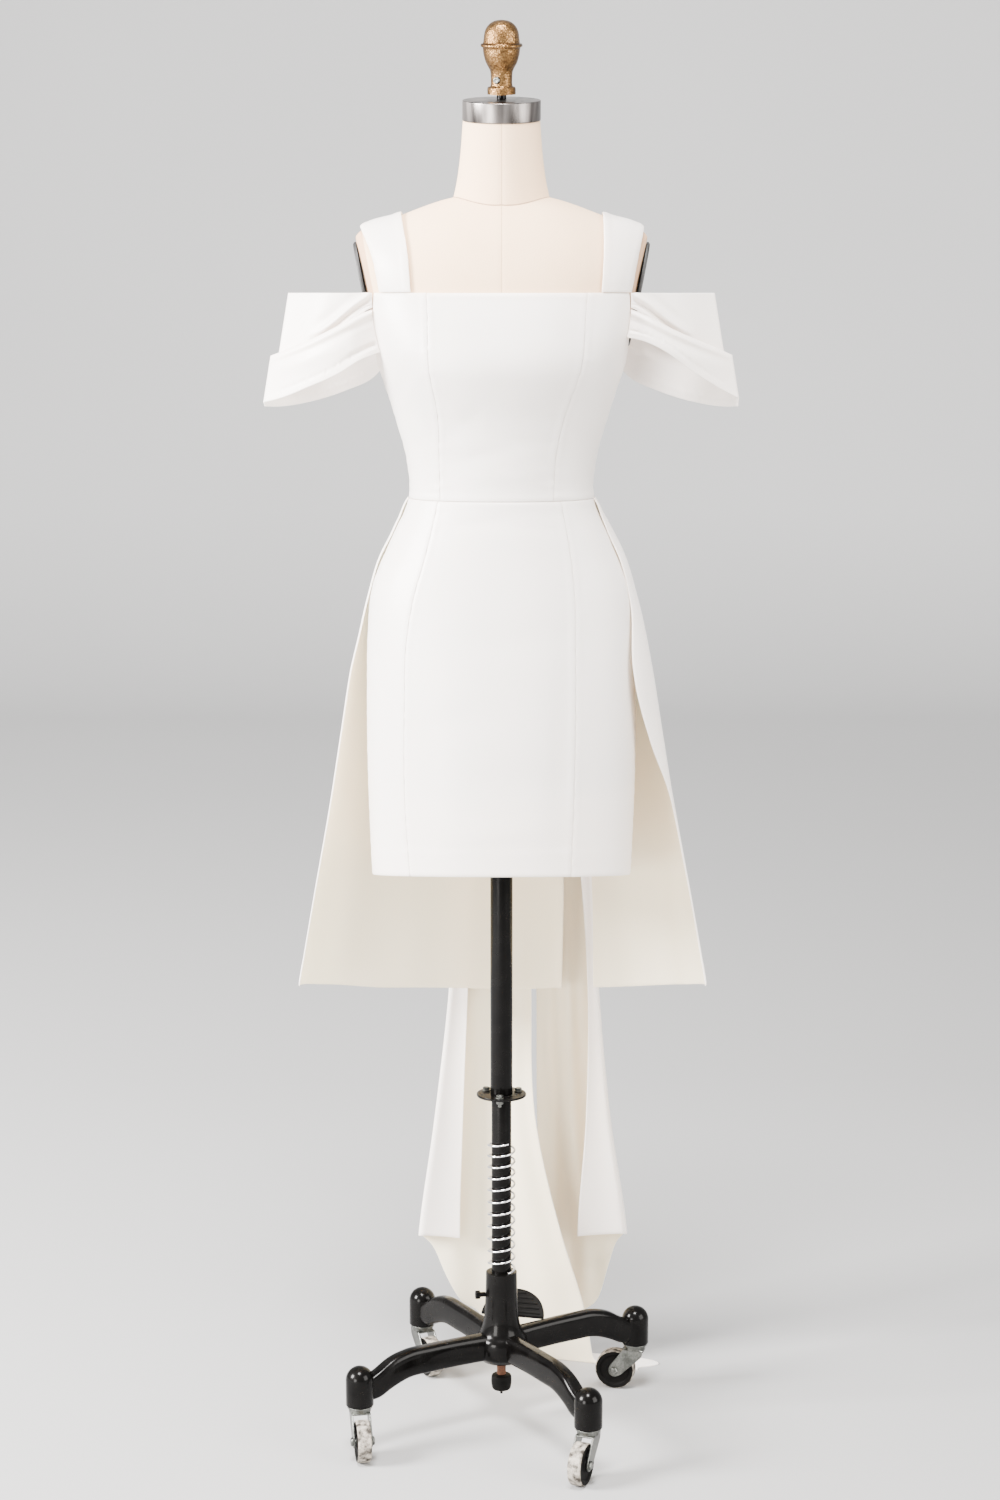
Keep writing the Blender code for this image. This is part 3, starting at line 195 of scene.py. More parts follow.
SLIT = table(
    "z left_edge right_edge",
    (0.530, 0.083, 0.127),
    (0.690, 0.085, 0.124),
    (0.850, 0.080, 0.112),
    (1.050, 0.040, 0.056),
    (1.231, -0.00015, 0.00015),
)
SLEEVE_X = table(
    "x fold_left fold_right front_left front_right back",
    (0.1600, 1.4680, 1.4680, 1.4150, 1.4330, 1.4080),
    (0.1860, 1.4560, 1.4570, 1.4050, 1.4270, 1.3800),
    (0.2150, 1.4420, 1.4430, 1.3870, 1.4120, 1.3640),
    (0.2450, 1.4280, 1.4300, 1.3715, 1.3890, 1.3515),
    (0.2750, 1.4150, 1.4170, 1.3560, 1.3665, 1.3450),
    (0.3000, 1.4050, 1.4050, 1.3475, 1.3490, 1.3470),
)
SLEEVE_START_X = 0.1615
SLEEVE_START_Y = 0.0530
SLEEVE_SEAT = 0.0009
UPPER_CREASE_X = 0.2665
LOWER_CREASE_X = 0.2900
CREASE_SLOPE = 0.17
UNDERLAP = 0.016
TAIL_LEFT = table(
    "z free fold inner flap_y back_y",
    (0.000, -0.0550, -0.1220, 0.1300, 0.2130, 0.2260),
    (0.080, -0.0560, -0.1200, 0.1160, 0.2130, 0.2260),
    (0.184, -0.0580, -0.1119, 0.0850, 0.2120, 0.2260),
    (0.350, -0.0535, -0.0893, 0.0480, 0.2115, 0.2250),
    (0.580, -0.0450, -0.0652, 0.0400, 0.2180, 0.2290),
    (0.835, -0.0400, -0.0640, 0.0200, 0.1965, 0.2040),
    (1.020, -0.0320, -0.0560, 0.0080, 0.1640, 0.1690),
    (1.130, -0.0250, -0.0500, 0.0000, 0.1335, 0.1375),
    (1.195, -0.0200, -0.0450, -0.0020, 0.1060, 0.1090),
    (1.231, -0.0180, -0.0420, -0.0030, 0.0870, 0.0893),
)
TAIL_RIGHT = table(
    "z free fold inner flap_y back_y",
    (0.000, 0.1080, 0.1800, 0.0600, 0.2230, 0.2480),
    (0.080, 0.1080, 0.1800, 0.0600, 0.2230, 0.2480),
    (0.184, 0.1070, 0.1727, 0.0560, 0.2200, 0.2480),
    (0.350, 0.1180, 0.1484, 0.0500, 0.2180, 0.2450),
    (0.580, 0.1180, 0.1276, 0.0475, 0.2180, 0.2370),
    (0.835, 0.0900, 0.1100, 0.0320, 0.1965, 0.2100),
    (1.020, 0.0500, 0.0750, 0.0200, 0.1640, 0.1710),
    (1.130, 0.0320, 0.0570, 0.0090, 0.1335, 0.1380),
    (1.195, 0.0240, 0.0490, 0.0035, 0.1060, 0.1090),
    (1.231, 0.0200, 0.0440, 0.0030, 0.0870, 0.0893),
)
END_LEFT = table(
    "share end_z run heading",
    (0.00, 0.1800, 0.000, 0.0),
    (0.10, 0.1580, 0.000, 0.0),
    (0.18, 0.1200, 0.000, 0.0),
    (0.26, 0.0850, 0.000, 0.0),
    (0.38, 0.0600, 0.000, 0.0),
    (0.48, 0.0000, 0.030, 10.0),
    (0.62, 0.0000, 0.172, -4.0),
    (0.80, 0.0000, 0.118, -16.0),
    (1.00, 0.0000, 0.066, -24.0),
)
END_RIGHT = table(
    "share end_z run heading",
    (0.00, 0.1750, 0.000, 0.0),
    (0.12, 0.1560, 0.000, 0.0),
    (0.22, 0.1250, 0.000, 0.0),
    (0.34, 0.0800, 0.000, 0.0),
    (0.50, 0.0600, 0.000, 0.0),
    (1.00, 0.0550, 0.000, 0.0),
)
FLAP_END_Z = 0.184
TAIL_SEAT = 0.0020
FLOOR_BEND = 0.012
ARM = table(
    "reach middle_z half_height half_width",
    (0.010, 0.1070, 0.0180, 0.0130),
    (0.045, 0.1080, 0.0180, 0.0112),
    (0.110, 0.1090, 0.0182, 0.0108),
    (0.145, 0.1078, 0.0185, 0.0110),
    (0.170, 0.1000, 0.0195, 0.0114),
    (0.188, 0.0905, 0.0185, 0.0118),
    (0.207, 0.0850, 0.0145, 0.0118),
)
NECK = table(
    "up half_width half_depth lean",
    (0.00, 0.0680, 0.0640, 0.35),
    (0.22, 0.0605, 0.0590, 0.30),
    (0.34, 0.0570, 0.0560, 0.25),
    (0.60, 0.0520, 0.0515, 0.18),
    (1.00, 0.0478, 0.0478, NECK_LEAN),
)


# Curves and surfaces


def curve(rows, name, at, key="z"):
    """Cubic Hermite curve through one column of a table, its slopes the central differences of the rows."""
    x, y = rows[key], rows[name]
    at = np.clip(np.asarray(at, float), x[0], x[-1])
    slope = np.gradient(y, x)
    i = np.clip(np.searchsorted(x, at) - 1, 0, len(x) - 2)
    span = x[i + 1] - x[i]
    t = (at - x[i]) / span
    start = (1 + 2 * t) * (1 - t) ** 2 * y[i] + t * (1 - t) ** 2 * span * slope[i]
    end = t * t * (3 - 2 * t) * y[i + 1] + t * t * (t - 1) * span * slope[i + 1]
    return start + end


def ramp(value, low, high):
    """Smooth step from 0 at low to 1 at high: 3t squared minus 2t cubed."""
    t = np.clip((np.asarray(value, float) - low) / (high - low), 0.0, 1.0)
    return t * t * (3 - 2 * t)


def bump(value, centre, width):
    """Bell curve: e to the minus square of the distance from centre over width."""
    return np.exp(-(((value - centre) / width) ** 2))


def power_cos(angle, power):
    c = np.cos(angle)
    return np.sign(c) * np.abs(c) ** (2.0 / power)


def power_sin(angle, power):
    s = np.sin(angle)
    return np.sign(s) * np.abs(s) ** (2.0 / power)


def section(angle, z, out=0.0):
    """Superellipse across the body at height z: x is the half width times cos to the 2/power, and y is the
    depth in front or behind times sin to the 2/power, each grown by out."""
    power = curve(BODY, "power", z)
    across = (curve(BODY, "half_width", z) + out) * power_cos(angle, power)
    deep = np.where(np.sin(angle) < 0, curve(BODY, "front", z), curve(BODY, "back", z)) + out
    y = deep * power_sin(angle, power)
    return np.stack([across, y, np.broadcast_to(z, across.shape)], -1)


def angle_in_front(x, z):
    """Angle on the front of a section at x from the middle: arc cosine of the share to the power/2."""
    share = np.clip(np.abs(x) / (curve(BODY, "half_width", z) + CLEAR), 0.0, 1.0)
    turn = np.arccos(share ** (curve(BODY, "power", z) / 2))
    return np.where(np.asarray(x) < 0, turn - math.pi, -turn)


def dome(share, swing, out=0.0):
    """Shoulders: each share of the width is an arch from front to back whose height is the shoulder line's
    times sin(swing) to the 2/power and whose depth is the neckline's times cos(swing) to the 2/power."""
    power = BODY["power"][-1]
    widest = BODY["half_width"][-1]
    thin = (1 - np.minimum(np.abs(share), 1.0) ** power) ** (1 / power)
    arch = np.abs(power_sin(swing, DOME_POWER))
    z = NECKLINE_Z + (curve(SHOULDER, "z", np.abs(share), "share") + out - NECKLINE_Z) * arch
    depth = np.where(np.cos(swing) > 0, BODY["front"][-1], BODY["back"][-1]) * thin + out
    y = -depth * power_cos(swing, DOME_POWER)
    x = share * (widest + out + SIDE_FLARE * (z - NECKLINE_Z))
    return np.stack([x, y, z], -1)


def shoulder_level(x, y):
    """Height of the shoulders over a place in the plan: the arch's depth there gives the cosine of its swing,
    and the shoulder line's height times the sine to the 2/power the level."""
    share = np.clip(np.abs(x) / (BODY["half_width"][-1] + SIDE_FLARE * 0.1), 0.0, 0.999)
    power = BODY["power"][-1]
    depth = np.where(y < 0, BODY["front"][-1], BODY["back"][-1]) * (1 - share**power) ** (1 / power) - FORM_EASE
    turn = np.clip(np.abs(y) / depth, 0.0, 1.0) ** (DOME_POWER / 2)
    arch = (1 - turn**2) ** (1 / DOME_POWER)
    return NECKLINE_Z + (curve(SHOULDER, "z", share, "share") - FORM_EASE - NECKLINE_Z) * arch


def over_point(angle, z, off=0.0):
    """Overskirt: a superellipse round its own middle, its depth behind pulled in by FLUTES cosine waves that
    deepen towards the hem."""
    wave = FLUTE_DEPTH * ramp(-z, -FLUTE_TOP_Z, -OVER_HEM_BACK_Z) * (1 - np.cos(2 * FLUTES * angle)) / 2
    x = (curve(OVERSKIRT, "half_width", z) - wave * 0.4 + off) * power_cos(angle, OVER_POWER)
    front, back = curve(OVERSKIRT, "front", z), curve(OVERSKIRT, "back", z)
    depth = np.where(np.sin(angle) < 0, front, back - wave) + off
    y = curve(OVERSKIRT, "middle_y", z) + depth * power_sin(angle, OVER_POWER)
    return np.stack([x, y, z], -1)


def over_angle(x, z):
    share = np.clip(np.abs(x) / curve(OVERSKIRT, "half_width", z), 0.0, 1.0)
    turn = np.arccos(share ** (OVER_POWER / 2))
    return np.where(np.asarray(x) < 0, math.pi - turn, turn)


def arc_lengths(points, axis):
    """Length run along one direction of a grid, from 0."""
    step = np.linalg.norm(np.diff(points, axis=axis), axis=-1)
    zero = np.zeros_like(np.take(step, [0], axis=axis))
    return np.concatenate([zero, np.cumsum(step, axis=axis)], axis=axis)


def world(points):
    """Sizes are counted from the pole; this moves them to the object's own frame."""
    return np.asarray(points) + np.array([0.0, POLE_Y, 0.0])


# Meshes


def mesh_object(name, points, faces, materials, uv=None, indices=None):
    """Mesh from an array of points and an array of equal faces, with its own UV map in metres."""
    points = np.asarray(points, float).reshape(-1, 3)
    faces = np.asarray(faces, np.int32)
    mesh = bpy.data.meshes.new(name)
    mesh.vertices.add(len(points))
    mesh.vertices.foreach_set("co", points.ravel())
    corners = faces.shape[1]
    mesh.loops.add(faces.size)
    mesh.loops.foreach_set("vertex_index", faces.ravel())
    mesh.polygons.add(len(faces))
    mesh.polygons.foreach_set("loop_start", np.arange(len(faces), dtype=np.int32) * corners)
    mesh.polygons.foreach_set("loop_total", np.full(len(faces), corners, np.int32))
    for material in materials:
        mesh.materials.append(material)
    if indices is not None:
        mesh.polygons.foreach_set("material_index", np.asarray(indices, np.int32))
    if uv is not None:
        layer = mesh.uv_layers.new(name="UVMap")
        layer.data.foreach_set("uv", np.asarray(uv, float).reshape(-1, 2)[faces.ravel()].ravel())
    mesh.update(calc_edges=True)
    mesh.validate()
    mesh.shade_smooth()
    obj = bpy.data.objects.new(name, mesh)
    bpy.context.scene.collection.objects.link(obj)
    return obj


def grid_faces(rows, columns, wrap=False, first=0):
    """Quads of a grid of points stored row by row; wrap joins the last column to the first."""
    r = np.arange(rows - 1)[:, None]
    c = np.arange(columns if wrap else columns - 1)[None, :]
    d = (c + 1) % columns
    a = first + r * columns
    b = a + columns
    return np.stack([a + c, a + d, b + d, b + c], -1).reshape(-1, 4)


def face_out(obj):
    """Turns the faces of a closed mesh outwards."""
    work = bmesh.new()
    work.from_mesh(obj.data)
    bmesh.ops.remove_doubles(work, verts=work.verts, dist=0.00001)
    bmesh.ops.recalc_face_normals(work, faces=work.faces)
    work.to_mesh(obj.data)
    work.free()
    return obj


def cloth(name, points, flip=False, offset=-1.0, lining="satin_reverse_shaded"):
    """Cloth from a grid: rows down the piece, columns across. Its wall grows inwards, with the reverse of the
    cloth on the inner side. It works out the flat size that its grid measures, which nothing uses."""
    settings = bpy.context.scene.dress_settings
    points = world(points)
    rows, columns = points.shape[:2]
    across, along = arc_lengths(points, 1), arc_lengths(points, 0)
    faces = grid_faces(rows, columns)
    if flip:
        faces = faces[:, ::-1]
    uv = np.stack([across - across[:, -1:] / 2, along], -1)
    # The inner side gets the reverse material, whose golden colour is partly painted shade.
    obj = mesh_object(name + "_cloth", points, faces, [material("satin"), material(lining)], uv)
    wall = obj.modifiers.new("wall", "SOLIDIFY")
    wall.thickness = settings.cloth_wall
    wall.offset = offset
    wall.material_offset = 1
    wall.material_offset_rim = 0
    wall.use_quality_normals = True
    edge = obj.modifiers.new("edge", "BEVEL")
    edge.width = 0.0003
    edge.segments = 1
    edge.limit_method = "ANGLE"
    edge.angle_limit = math.radians(60)
    quads = points[:-1, :-1], points[1:, :-1], points[:-1, 1:]
    area = float(np.linalg.norm(np.cross(quads[1] - quads[0], quads[2] - quads[0]), axis=-1).sum())
    length = float(along[-1].max())
    width = float(np.percentile(across[:, -1], 92))
    width = min(max(width, area / length), area / length / 0.34)
    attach(obj, "stand")
    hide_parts(name)
    return obj


def solid(name, parts, materials, body="stand", replace=None, sharp=35.0):
    """Joins parts, each an array of points and of faces and a material index, in one object."""
    points, faces, indices, start = [], [], [], 0
    for part in parts:
        p, f, index = (*part, 0)[:3]
        points.append(np.asarray(p).reshape(-1, 3))
        faces.append(np.asarray(f) + start)
        indices.append(np.full(len(f), index))
        start += len(points[-1])
    obj = mesh_object(name + "_shown", world(np.concatenate(points)), np.concatenate(faces), materials, None,
                      np.concatenate(indices))
    face_out(obj)
    obj.data.shade_smooth()
    obj.data.set_sharp_from_angle(angle=math.radians(sharp))
    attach(obj, body)
    if replace:
        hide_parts(*replace)
    return obj


def turn_profile(profile, steps=72, ridge=None):
    """Profile of radii and heights, top first, turned about Z. Radius zero at an end closes it."""
    profile = np.asarray(profile, float)
    turns = np.arange(steps) * math.tau / steps
    radius = np.broadcast_to(profile[:, :1], (len(profile), steps))
    if ridge is not None:
        radius = radius * ridge(turns[None, :])
    x, y = radius * np.cos(turns), radius * np.sin(turns)
    z = np.broadcast_to(profile[:, 1:], x.shape)
    return np.stack([x, y, z], -1), grid_faces(len(profile), steps, True)


def round_profile(profile, radius=0.0008, steps=3):
    """Rounds each corner of a profile with a quadratic Bezier of steps points that starts radius before it."""
    p = np.asarray(profile, float)
    out = [p[0]]
    for before, corner, after in zip(p[:-2], p[1:-1], p[2:]):
        into, onward = before - corner, after - corner
        a, b = np.linalg.norm(into), np.linalg.norm(onward)
        r = min(radius, 0.45 * a, 0.45 * b)
        start, end = corner + into / max(a, 1e-9) * r, corner + onward / max(b, 1e-9) * r
        for t in np.linspace(0.0, 1.0, steps + 1):
            out.append((1 - t) ** 2 * start + 2 * t * (1 - t) * corner + t * t * end)
    out.append(p[-1])
    return np.array(out)


def smooth_profile(profile, count=60):
    """Profile resampled by Catmull-Rom through its points, evenly in length."""
    p = np.asarray(profile, float)
    ends = np.vstack([2 * p[0] - p[1], p, 2 * p[-1] - p[-2]])
    t = np.linspace(0, 1, 12, endpoint=False)[:, None]
    out = []
    for a, b, c, d in zip(ends[:-3], ends[1:-2], ends[2:-1], ends[3:]):
        square, cube = 2 * a - 5 * b + 4 * c - d, 3 * b - a - 3 * c + d
        out.append(0.5 * (2 * b + (c - a) * t + square * t**2 + cube * t**3))
    out = np.concatenate(out + [p[-1:]])
    run = np.concatenate([[0], np.cumsum(np.linalg.norm(np.diff(out, axis=0), axis=1))])
    at = np.linspace(0, run[-1], count)
    return np.stack([np.interp(at, run, out[:, 0]), np.interp(at, run, out[:, 1])], -1)


def moved(part, matrix):
    """A part with its points multiplied by a matrix."""
    points, faces = part[0], part[1]
    m = np.array(matrix)
    return (points.reshape(-1, 3) @ m[:3, :3].T + m[:3, 3], faces, *part[2:])


def placed(location=(0, 0, 0), rotation=(0, 0, 0)):
    return Matrix.Translation(Vector(location)) @ Euler(rotation).to_matrix().to_4x4()


def prism(outline, low, high, edge=0.0006):
    """Flat outline in X and Z made solid along Y, both rims rounded by a ring that is edge smaller."""
    o = np.asarray(outline, float)
    ahead, behind = np.roll(o, -1, 0) - o, o - np.roll(o, 1, 0)
    side = np.stack([ahead[:, 1], -ahead[:, 0]], -1) / np.linalg.norm(ahead, axis=1)[:, None]
    side += np.stack([behind[:, 1], -behind[:, 0]], -1) / np.linalg.norm(behind, axis=1)[:, None]
    side /= np.maximum(np.linalg.norm(side, axis=1)[:, None], 1e-9)
    area = np.sum(o[:, 0] * np.roll(o[:, 1], -1) - np.roll(o[:, 0], -1) * o[:, 1])
    small = o - side * edge * np.sign(area)
    centre = o.mean(0)
    rings = []
    for shape, y in ((None, low), (small, low), (o, low + edge), (o, high - edge), (small, high), (None, high)):
        flat = np.broadcast_to(centre, o.shape) if shape is None else shape
        rings.append(np.stack([flat[:, 0], np.full(len(o), y), flat[:, 1]], -1))
    return np.array(rings), grid_faces(6, len(o), True)


def rounded(outline, radius=0.003, steps=4):
    """Closed outline with its corners rounded."""
    o = np.asarray(outline, float)
    ring = round_profile(np.vstack([o[-1:], o, o[:1]]), radius, steps)[1:-1]
    return ring


def box_outline(x0, x1, z0, z1, radius=0.001, steps=3):
    return rounded([(x0, z0), (x1, z0), (x1, z1), (x0, z1)], radius, steps)


def polar(radius, degrees, z=0.0):
    a = math.radians(degrees)
    return (radius * math.cos(a), radius * math.sin(a), z)


def tube(path, radius, sides=14):
    """Round tube along a path: circles across it in frames whose first axis points away from the Z axis."""
    path = np.asarray(path, float)
    along = np.gradient(path, axis=0)
    along /= np.linalg.norm(along, axis=1)[:, None]
    outward = np.stack([path[:, 0], path[:, 1], np.zeros(len(path))], -1)
    outward -= along * np.sum(outward * along, axis=1)[:, None]
    outward /= np.linalg.norm(outward, axis=1)[:, None]
    third = np.cross(along, outward)
    turns = np.arange(sides) * math.tau / sides
    ring = np.cos(turns)[None, :, None] * outward[:, None] + np.sin(turns)[None, :, None] * third[:, None]
    rings = path[:, None] + radius * ring
    rings = np.concatenate([path[:1, None] + 0 * rings[:1], rings, path[-1:, None] + 0 * rings[:1]])
    return rings, grid_faces(len(rings), sides, True)


# Materials


class Shader:
    """A material with its Principled shader, and short ways to add and join nodes."""

    def __init__(self, name, colour, roughness, metallic=0.0, **sockets):
        self.material = bpy.data.materials.new(name)
        self.material.use_nodes = True
        self.tree = self.material.node_tree
        self.main = self.tree.nodes["Principled BSDF"]
        self.set("Base Color", (*colour, 1.0))
        self.set("Roughness", roughness)
        self.set("Metallic", metallic)
        for name, value in sockets.items():
            self.set(name.replace("_", " "), value)

    def set(self, socket, value):
        self.main.inputs[socket].default_value = value

    def node(self, kind, **values):
        return add_node(self.tree, kind, **values)

    def link(self, output, socket):
        self.tree.links.new(output, socket)

    def feed(self, output, socket):
        self.tree.links.new(output, self.main.inputs[socket])

    def group(self, tree, **inputs):
        node = self.node("ShaderNodeGroup")
        node.node_tree = tree
        for name, value in inputs.items():
            socket = node.inputs[name.replace("_", " ")]
            if hasattr(value, "is_output"):
                self.link(value, socket)
            else:
                socket.default_value = value
        return node

    def coords(self, kind="Object"):
        return self.node("ShaderNodeTexCoord").outputs[kind]


def add_node(tree, kind, **values):
    node = tree.nodes.new(kind)
    for name, value in values.items():
        if hasattr(node, name):
            setattr(node, name, value)
        else:
            node.inputs[name.replace("_", " ")].default_value = value
    return node


def new_group(name, inputs, outputs):
    """Shader node group with its sockets; inputs map a name to its default, outputs a name to its kind."""
    tree = bpy.data.node_groups.new(name, "ShaderNodeTree")
    for label, default in inputs.items():
        if default is None:
            kind = "NodeSocketVector"
        else:
            kind = "NodeSocketColor" if isinstance(default, tuple) else "NodeSocketFloat"
        socket = tree.interface.new_socket(name=label, in_out="INPUT", socket_type=kind)
        if default is not None:
            socket.default_value = default
    for label, kind in outputs.items():
        tree.interface.new_socket(name=label, in_out="OUTPUT", socket_type=kind)
    return tree, tree.nodes.new("NodeGroupInput"), tree.nodes.new("NodeGroupOutput")


def mathed(tree, operation, a, b=None, clamp=False):
    node = tree.nodes.new("ShaderNodeMath")
    node.operation = operation
    node.use_clamp = clamp
    for i, value in enumerate((a, b)):
        if value is None:
            continue
        if hasattr(value, "is_output"):
            tree.links.new(value, node.inputs[i])
        else:
            node.inputs[i].default_value = value
    return node.outputs[0]


def mixed(tree, factor, a, b, kind="MIX"):
    node = tree.nodes.new("ShaderNodeMix")
    node.data_type = "RGBA"
    node.blend_type = kind
    for socket, value in ((node.inputs["Factor"], factor), (node.inputs[6], a), (node.inputs[7], b)):
        if hasattr(value, "is_output"):
            tree.links.new(value, socket)
        elif socket.type == "RGBA":
            socket.default_value = (*value, 1.0)[:4]
        else:
            socket.default_value = value
    return node.outputs[2]


def weave_group():
    """Crossing yarns on UV in metres: two sine waves across each other, broken by slubs. Puts out a height and
    a mask of the slubs."""
    tree, entry, exit_ = new_group(
        "yarns", {"Vector": None, "Threads": 2200.0, "Slub": 0.3},
        {"Height": "NodeSocketFloat", "Slubs": "NodeSocketFloat"})
    split = tree.nodes.new("ShaderNodeSeparateXYZ")
    tree.links.new(entry.outputs["Vector"], split.inputs[0])
    warp = mathed(tree, "SINE", mathed(tree, "MULTIPLY", split.outputs[0], entry.outputs["Threads"]))
    weft = mathed(tree, "SINE", mathed(tree, "MULTIPLY", split.outputs[1], entry.outputs["Threads"]))
    noise = tree.nodes.new("ShaderNodeTexNoise")
    noise.inputs["Scale"].default_value = 260.0
    noise.inputs["Detail"].default_value = 4.0
    stretch = tree.nodes.new("ShaderNodeMapping")
    stretch.inputs["Scale"].default_value = (1.0, 0.12, 1.0)
    tree.links.new(entry.outputs["Vector"], stretch.inputs[0])
    tree.links.new(stretch.outputs[0], noise.inputs["Vector"])
    slubs = mathed(tree, "MULTIPLY", noise.outputs["Fac"], entry.outputs["Slub"])
    height = mathed(tree, "ADD", mathed(tree, "MULTIPLY", mathed(tree, "ADD", warp, weft), 0.25), slubs)
    tree.links.new(height, exit_.inputs["Height"])
    tree.links.new(noise.outputs["Fac"], exit_.inputs["Slubs"])
    return tree


def mottle_group():
    """Soft uneven tone: two octaves of noise on the given vector, put out as a mask around one half."""
    tree, entry, exit_ = new_group(
        "mottle", {"Vector": None, "Scale": 14.0, "Contrast": 0.5}, {"Mask": "NodeSocketFloat"})
    noise = tree.nodes.new("ShaderNodeTexNoise")
    noise.inputs["Detail"].default_value = 3.0
    tree.links.new(entry.outputs["Vector"], noise.inputs["Vector"])
    tree.links.new(entry.outputs["Scale"], noise.inputs["Scale"])
    centred = mathed(tree, "SUBTRACT", noise.outputs["Fac"], 0.5)
    spread = mathed(tree, "MULTIPLY", centred, entry.outputs["Contrast"])
    tree.links.new(mathed(tree, "ADD", spread, 0.5, True), exit_.inputs["Mask"])
    return tree


GROUPS = {}
MATERIALS = {}


def shared(name, make):
    if name not in GROUPS:
        GROUPS[name] = make()
    return GROUPS[name]


def material(name):
    if name not in MATERIALS:
        MATERIALS[name] = RECIPES[name]().material
    return MATERIALS[name]


def satin(name, colour, shade, roughness, sheen):
    """Heavy satin-backed twill: fine yarns, a very soft unevenness of tone and a broad gentle gloss."""
    s = Shader(name, colour, roughness, Sheen_Weight=sheen, Sheen_Roughness=0.35, Specular_IOR_Level=0.45,
               Subsurface_Weight=0.5, Subsurface_Scale=0.010, Subsurface_Radius=(1.0, 0.93, 0.84))
    uv, place = s.coords("UV"), s.coords()
    yarns = s.group(shared("yarns", weave_group), Vector=uv, Threads=5200.0, Slub=0.5)
    tone = s.group(shared("mottle", mottle_group), Vector=place, Scale=9.0, Contrast=0.9)
    s.feed(mixed(s.tree, tone.outputs["Mask"], shade, colour), "Base Color")
    rough = mathed(s.tree, "MULTIPLY_ADD", yarns.outputs["Slubs"], 0.12)
    rough.node.inputs[2].default_value = roughness - 0.06
    s.feed(rough, "Roughness")
    relief = s.node("ShaderNodeBump", Strength=0.35, Distance=0.00012)
    s.link(yarns.outputs["Height"], relief.inputs["Height"])
    s.feed(relief.outputs[0], "Normal")
    return s


def satin_face():
    tone = bpy.context.scene.dress_settings.cloth_colour
    shade = tuple(c * f for c, f in zip(tone, (0.975, 0.97, 0.965)))
    return satin("ivory_satin", tuple(tone), shade, 0.38, 0.10)


def satin_back_shaded():
    # Wrong side of the cloth. Its golden cream colour is partly the cloth's own reverse and partly painted warm shade
    # of the insides and recesses.
    tone = bpy.context.scene.dress_settings.reverse_shade_colour
    shade = tuple(c * f for c, f in zip(tone, (0.98, 0.965, 0.94)))
    return satin("satin_reverse_shaded", tuple(tone), shade, 0.6, 0.05)


def linen(name="cream_linen"):
    """Plain-woven linen with visible slubs, and peach cloth near the armholes."""
    tone = bpy.context.scene.dress_settings.form_colour
    s = Shader(name, tuple(tone), 0.85, Sheen_Weight=0.1, Specular_IOR_Level=0.2)
    place = s.coords()
    yarns = s.group(shared("yarns", weave_group), Vector=s.coords("UV"), Threads=3400.0, Slub=1.0)
    spots = s.group(shared("mottle", mottle_group), Vector=place, Scale=30.0, Contrast=0.8)
    dark = tuple(c * f for c, f in zip(tone, (0.93, 0.90, 0.86)))
    tones = mixed(s.tree, spots.outputs["Mask"], dark, tuple(tone))
    split = s.node("ShaderNodeSeparateXYZ")
    s.link(place, split.inputs[0])
    wide = mathed(s.tree, "ABSOLUTE", split.outputs[0])
    rise = mathed(s.tree, "MULTIPLY", mathed(s.tree, "SUBTRACT", split.outputs[2], NECKLINE_Z), SIDE_FLARE)
    near = mathed(s.tree, "SUBTRACT", wide, rise)
    side = mathed(s.tree, "MULTIPLY", mathed(s.tree, "SUBTRACT", near, ARM_PLANE_X - 0.011), 900.0, True)
    slubs = mathed(s.tree, "MULTIPLY", yarns.outputs["Slubs"], 0.5)
    line = mathed(s.tree, "SUBTRACT", 1.0, mathed(s.tree, "MULTIPLY", wide, 1000.0), True)
    tones = mixed(s.tree, mathed(s.tree, "MULTIPLY", line, 0.9), tones, (0.34, 0.21, 0.13))
    tones = mixed(s.tree, side, tones, (0.52, 0.30, 0.17))
    s.feed(mixed(s.tree, slubs, tones, dark), "Base Color")
    relief = s.node("ShaderNodeBump", Strength=0.5, Distance=0.0003)
    s.link(yarns.outputs["Height"], relief.inputs["Height"])
    s.feed(relief.outputs[0], "Normal")
    return s


def brushed(name, colour, roughness, along=(1.0, 1.0, 60.0), dark=0.8, **sockets):
    """Metal brushed along one direction: noise stretched by the mapping scale, in gloss and relief, and in tone as
    painted reflection streaks.
    """
    s = Shader(name, colour, roughness, 1.0, **sockets)
    stretch = s.node("ShaderNodeMapping")
    stretch.inputs["Scale"].default_value = along
    s.link(s.coords(), stretch.inputs[0])
    lines = s.node("ShaderNodeTexNoise", Scale=40.0, Detail=5.0)
    s.link(stretch.outputs[0], lines.inputs["Vector"])
    # Painted reflections: the stretched noise lays light and dark streaks into the base colour.
    painted_streaks = mathed(s.tree, "MULTIPLY", mathed(s.tree, "SUBTRACT", lines.outputs["Fac"], 0.32), 2.8, True)
    s.feed(mixed(s.tree, painted_streaks, tuple(c * dark for c in colour), colour), "Base Color")
    rough = mathed(s.tree, "MULTIPLY_ADD", lines.outputs["Fac"], 0.2)
    rough.node.inputs[2].default_value = roughness - 0.1
    s.feed(rough, "Roughness")
    relief = s.node("ShaderNodeBump", Strength=0.12, Distance=0.0001)
    s.link(lines.outputs["Fac"], relief.inputs["Height"])
    s.feed(relief.outputs[0], "Normal")
    return s


BRIM_Z = NECK_TOP[2] + 0.0006 + CAP_HEIGHT + 0.0065 + 0.0578


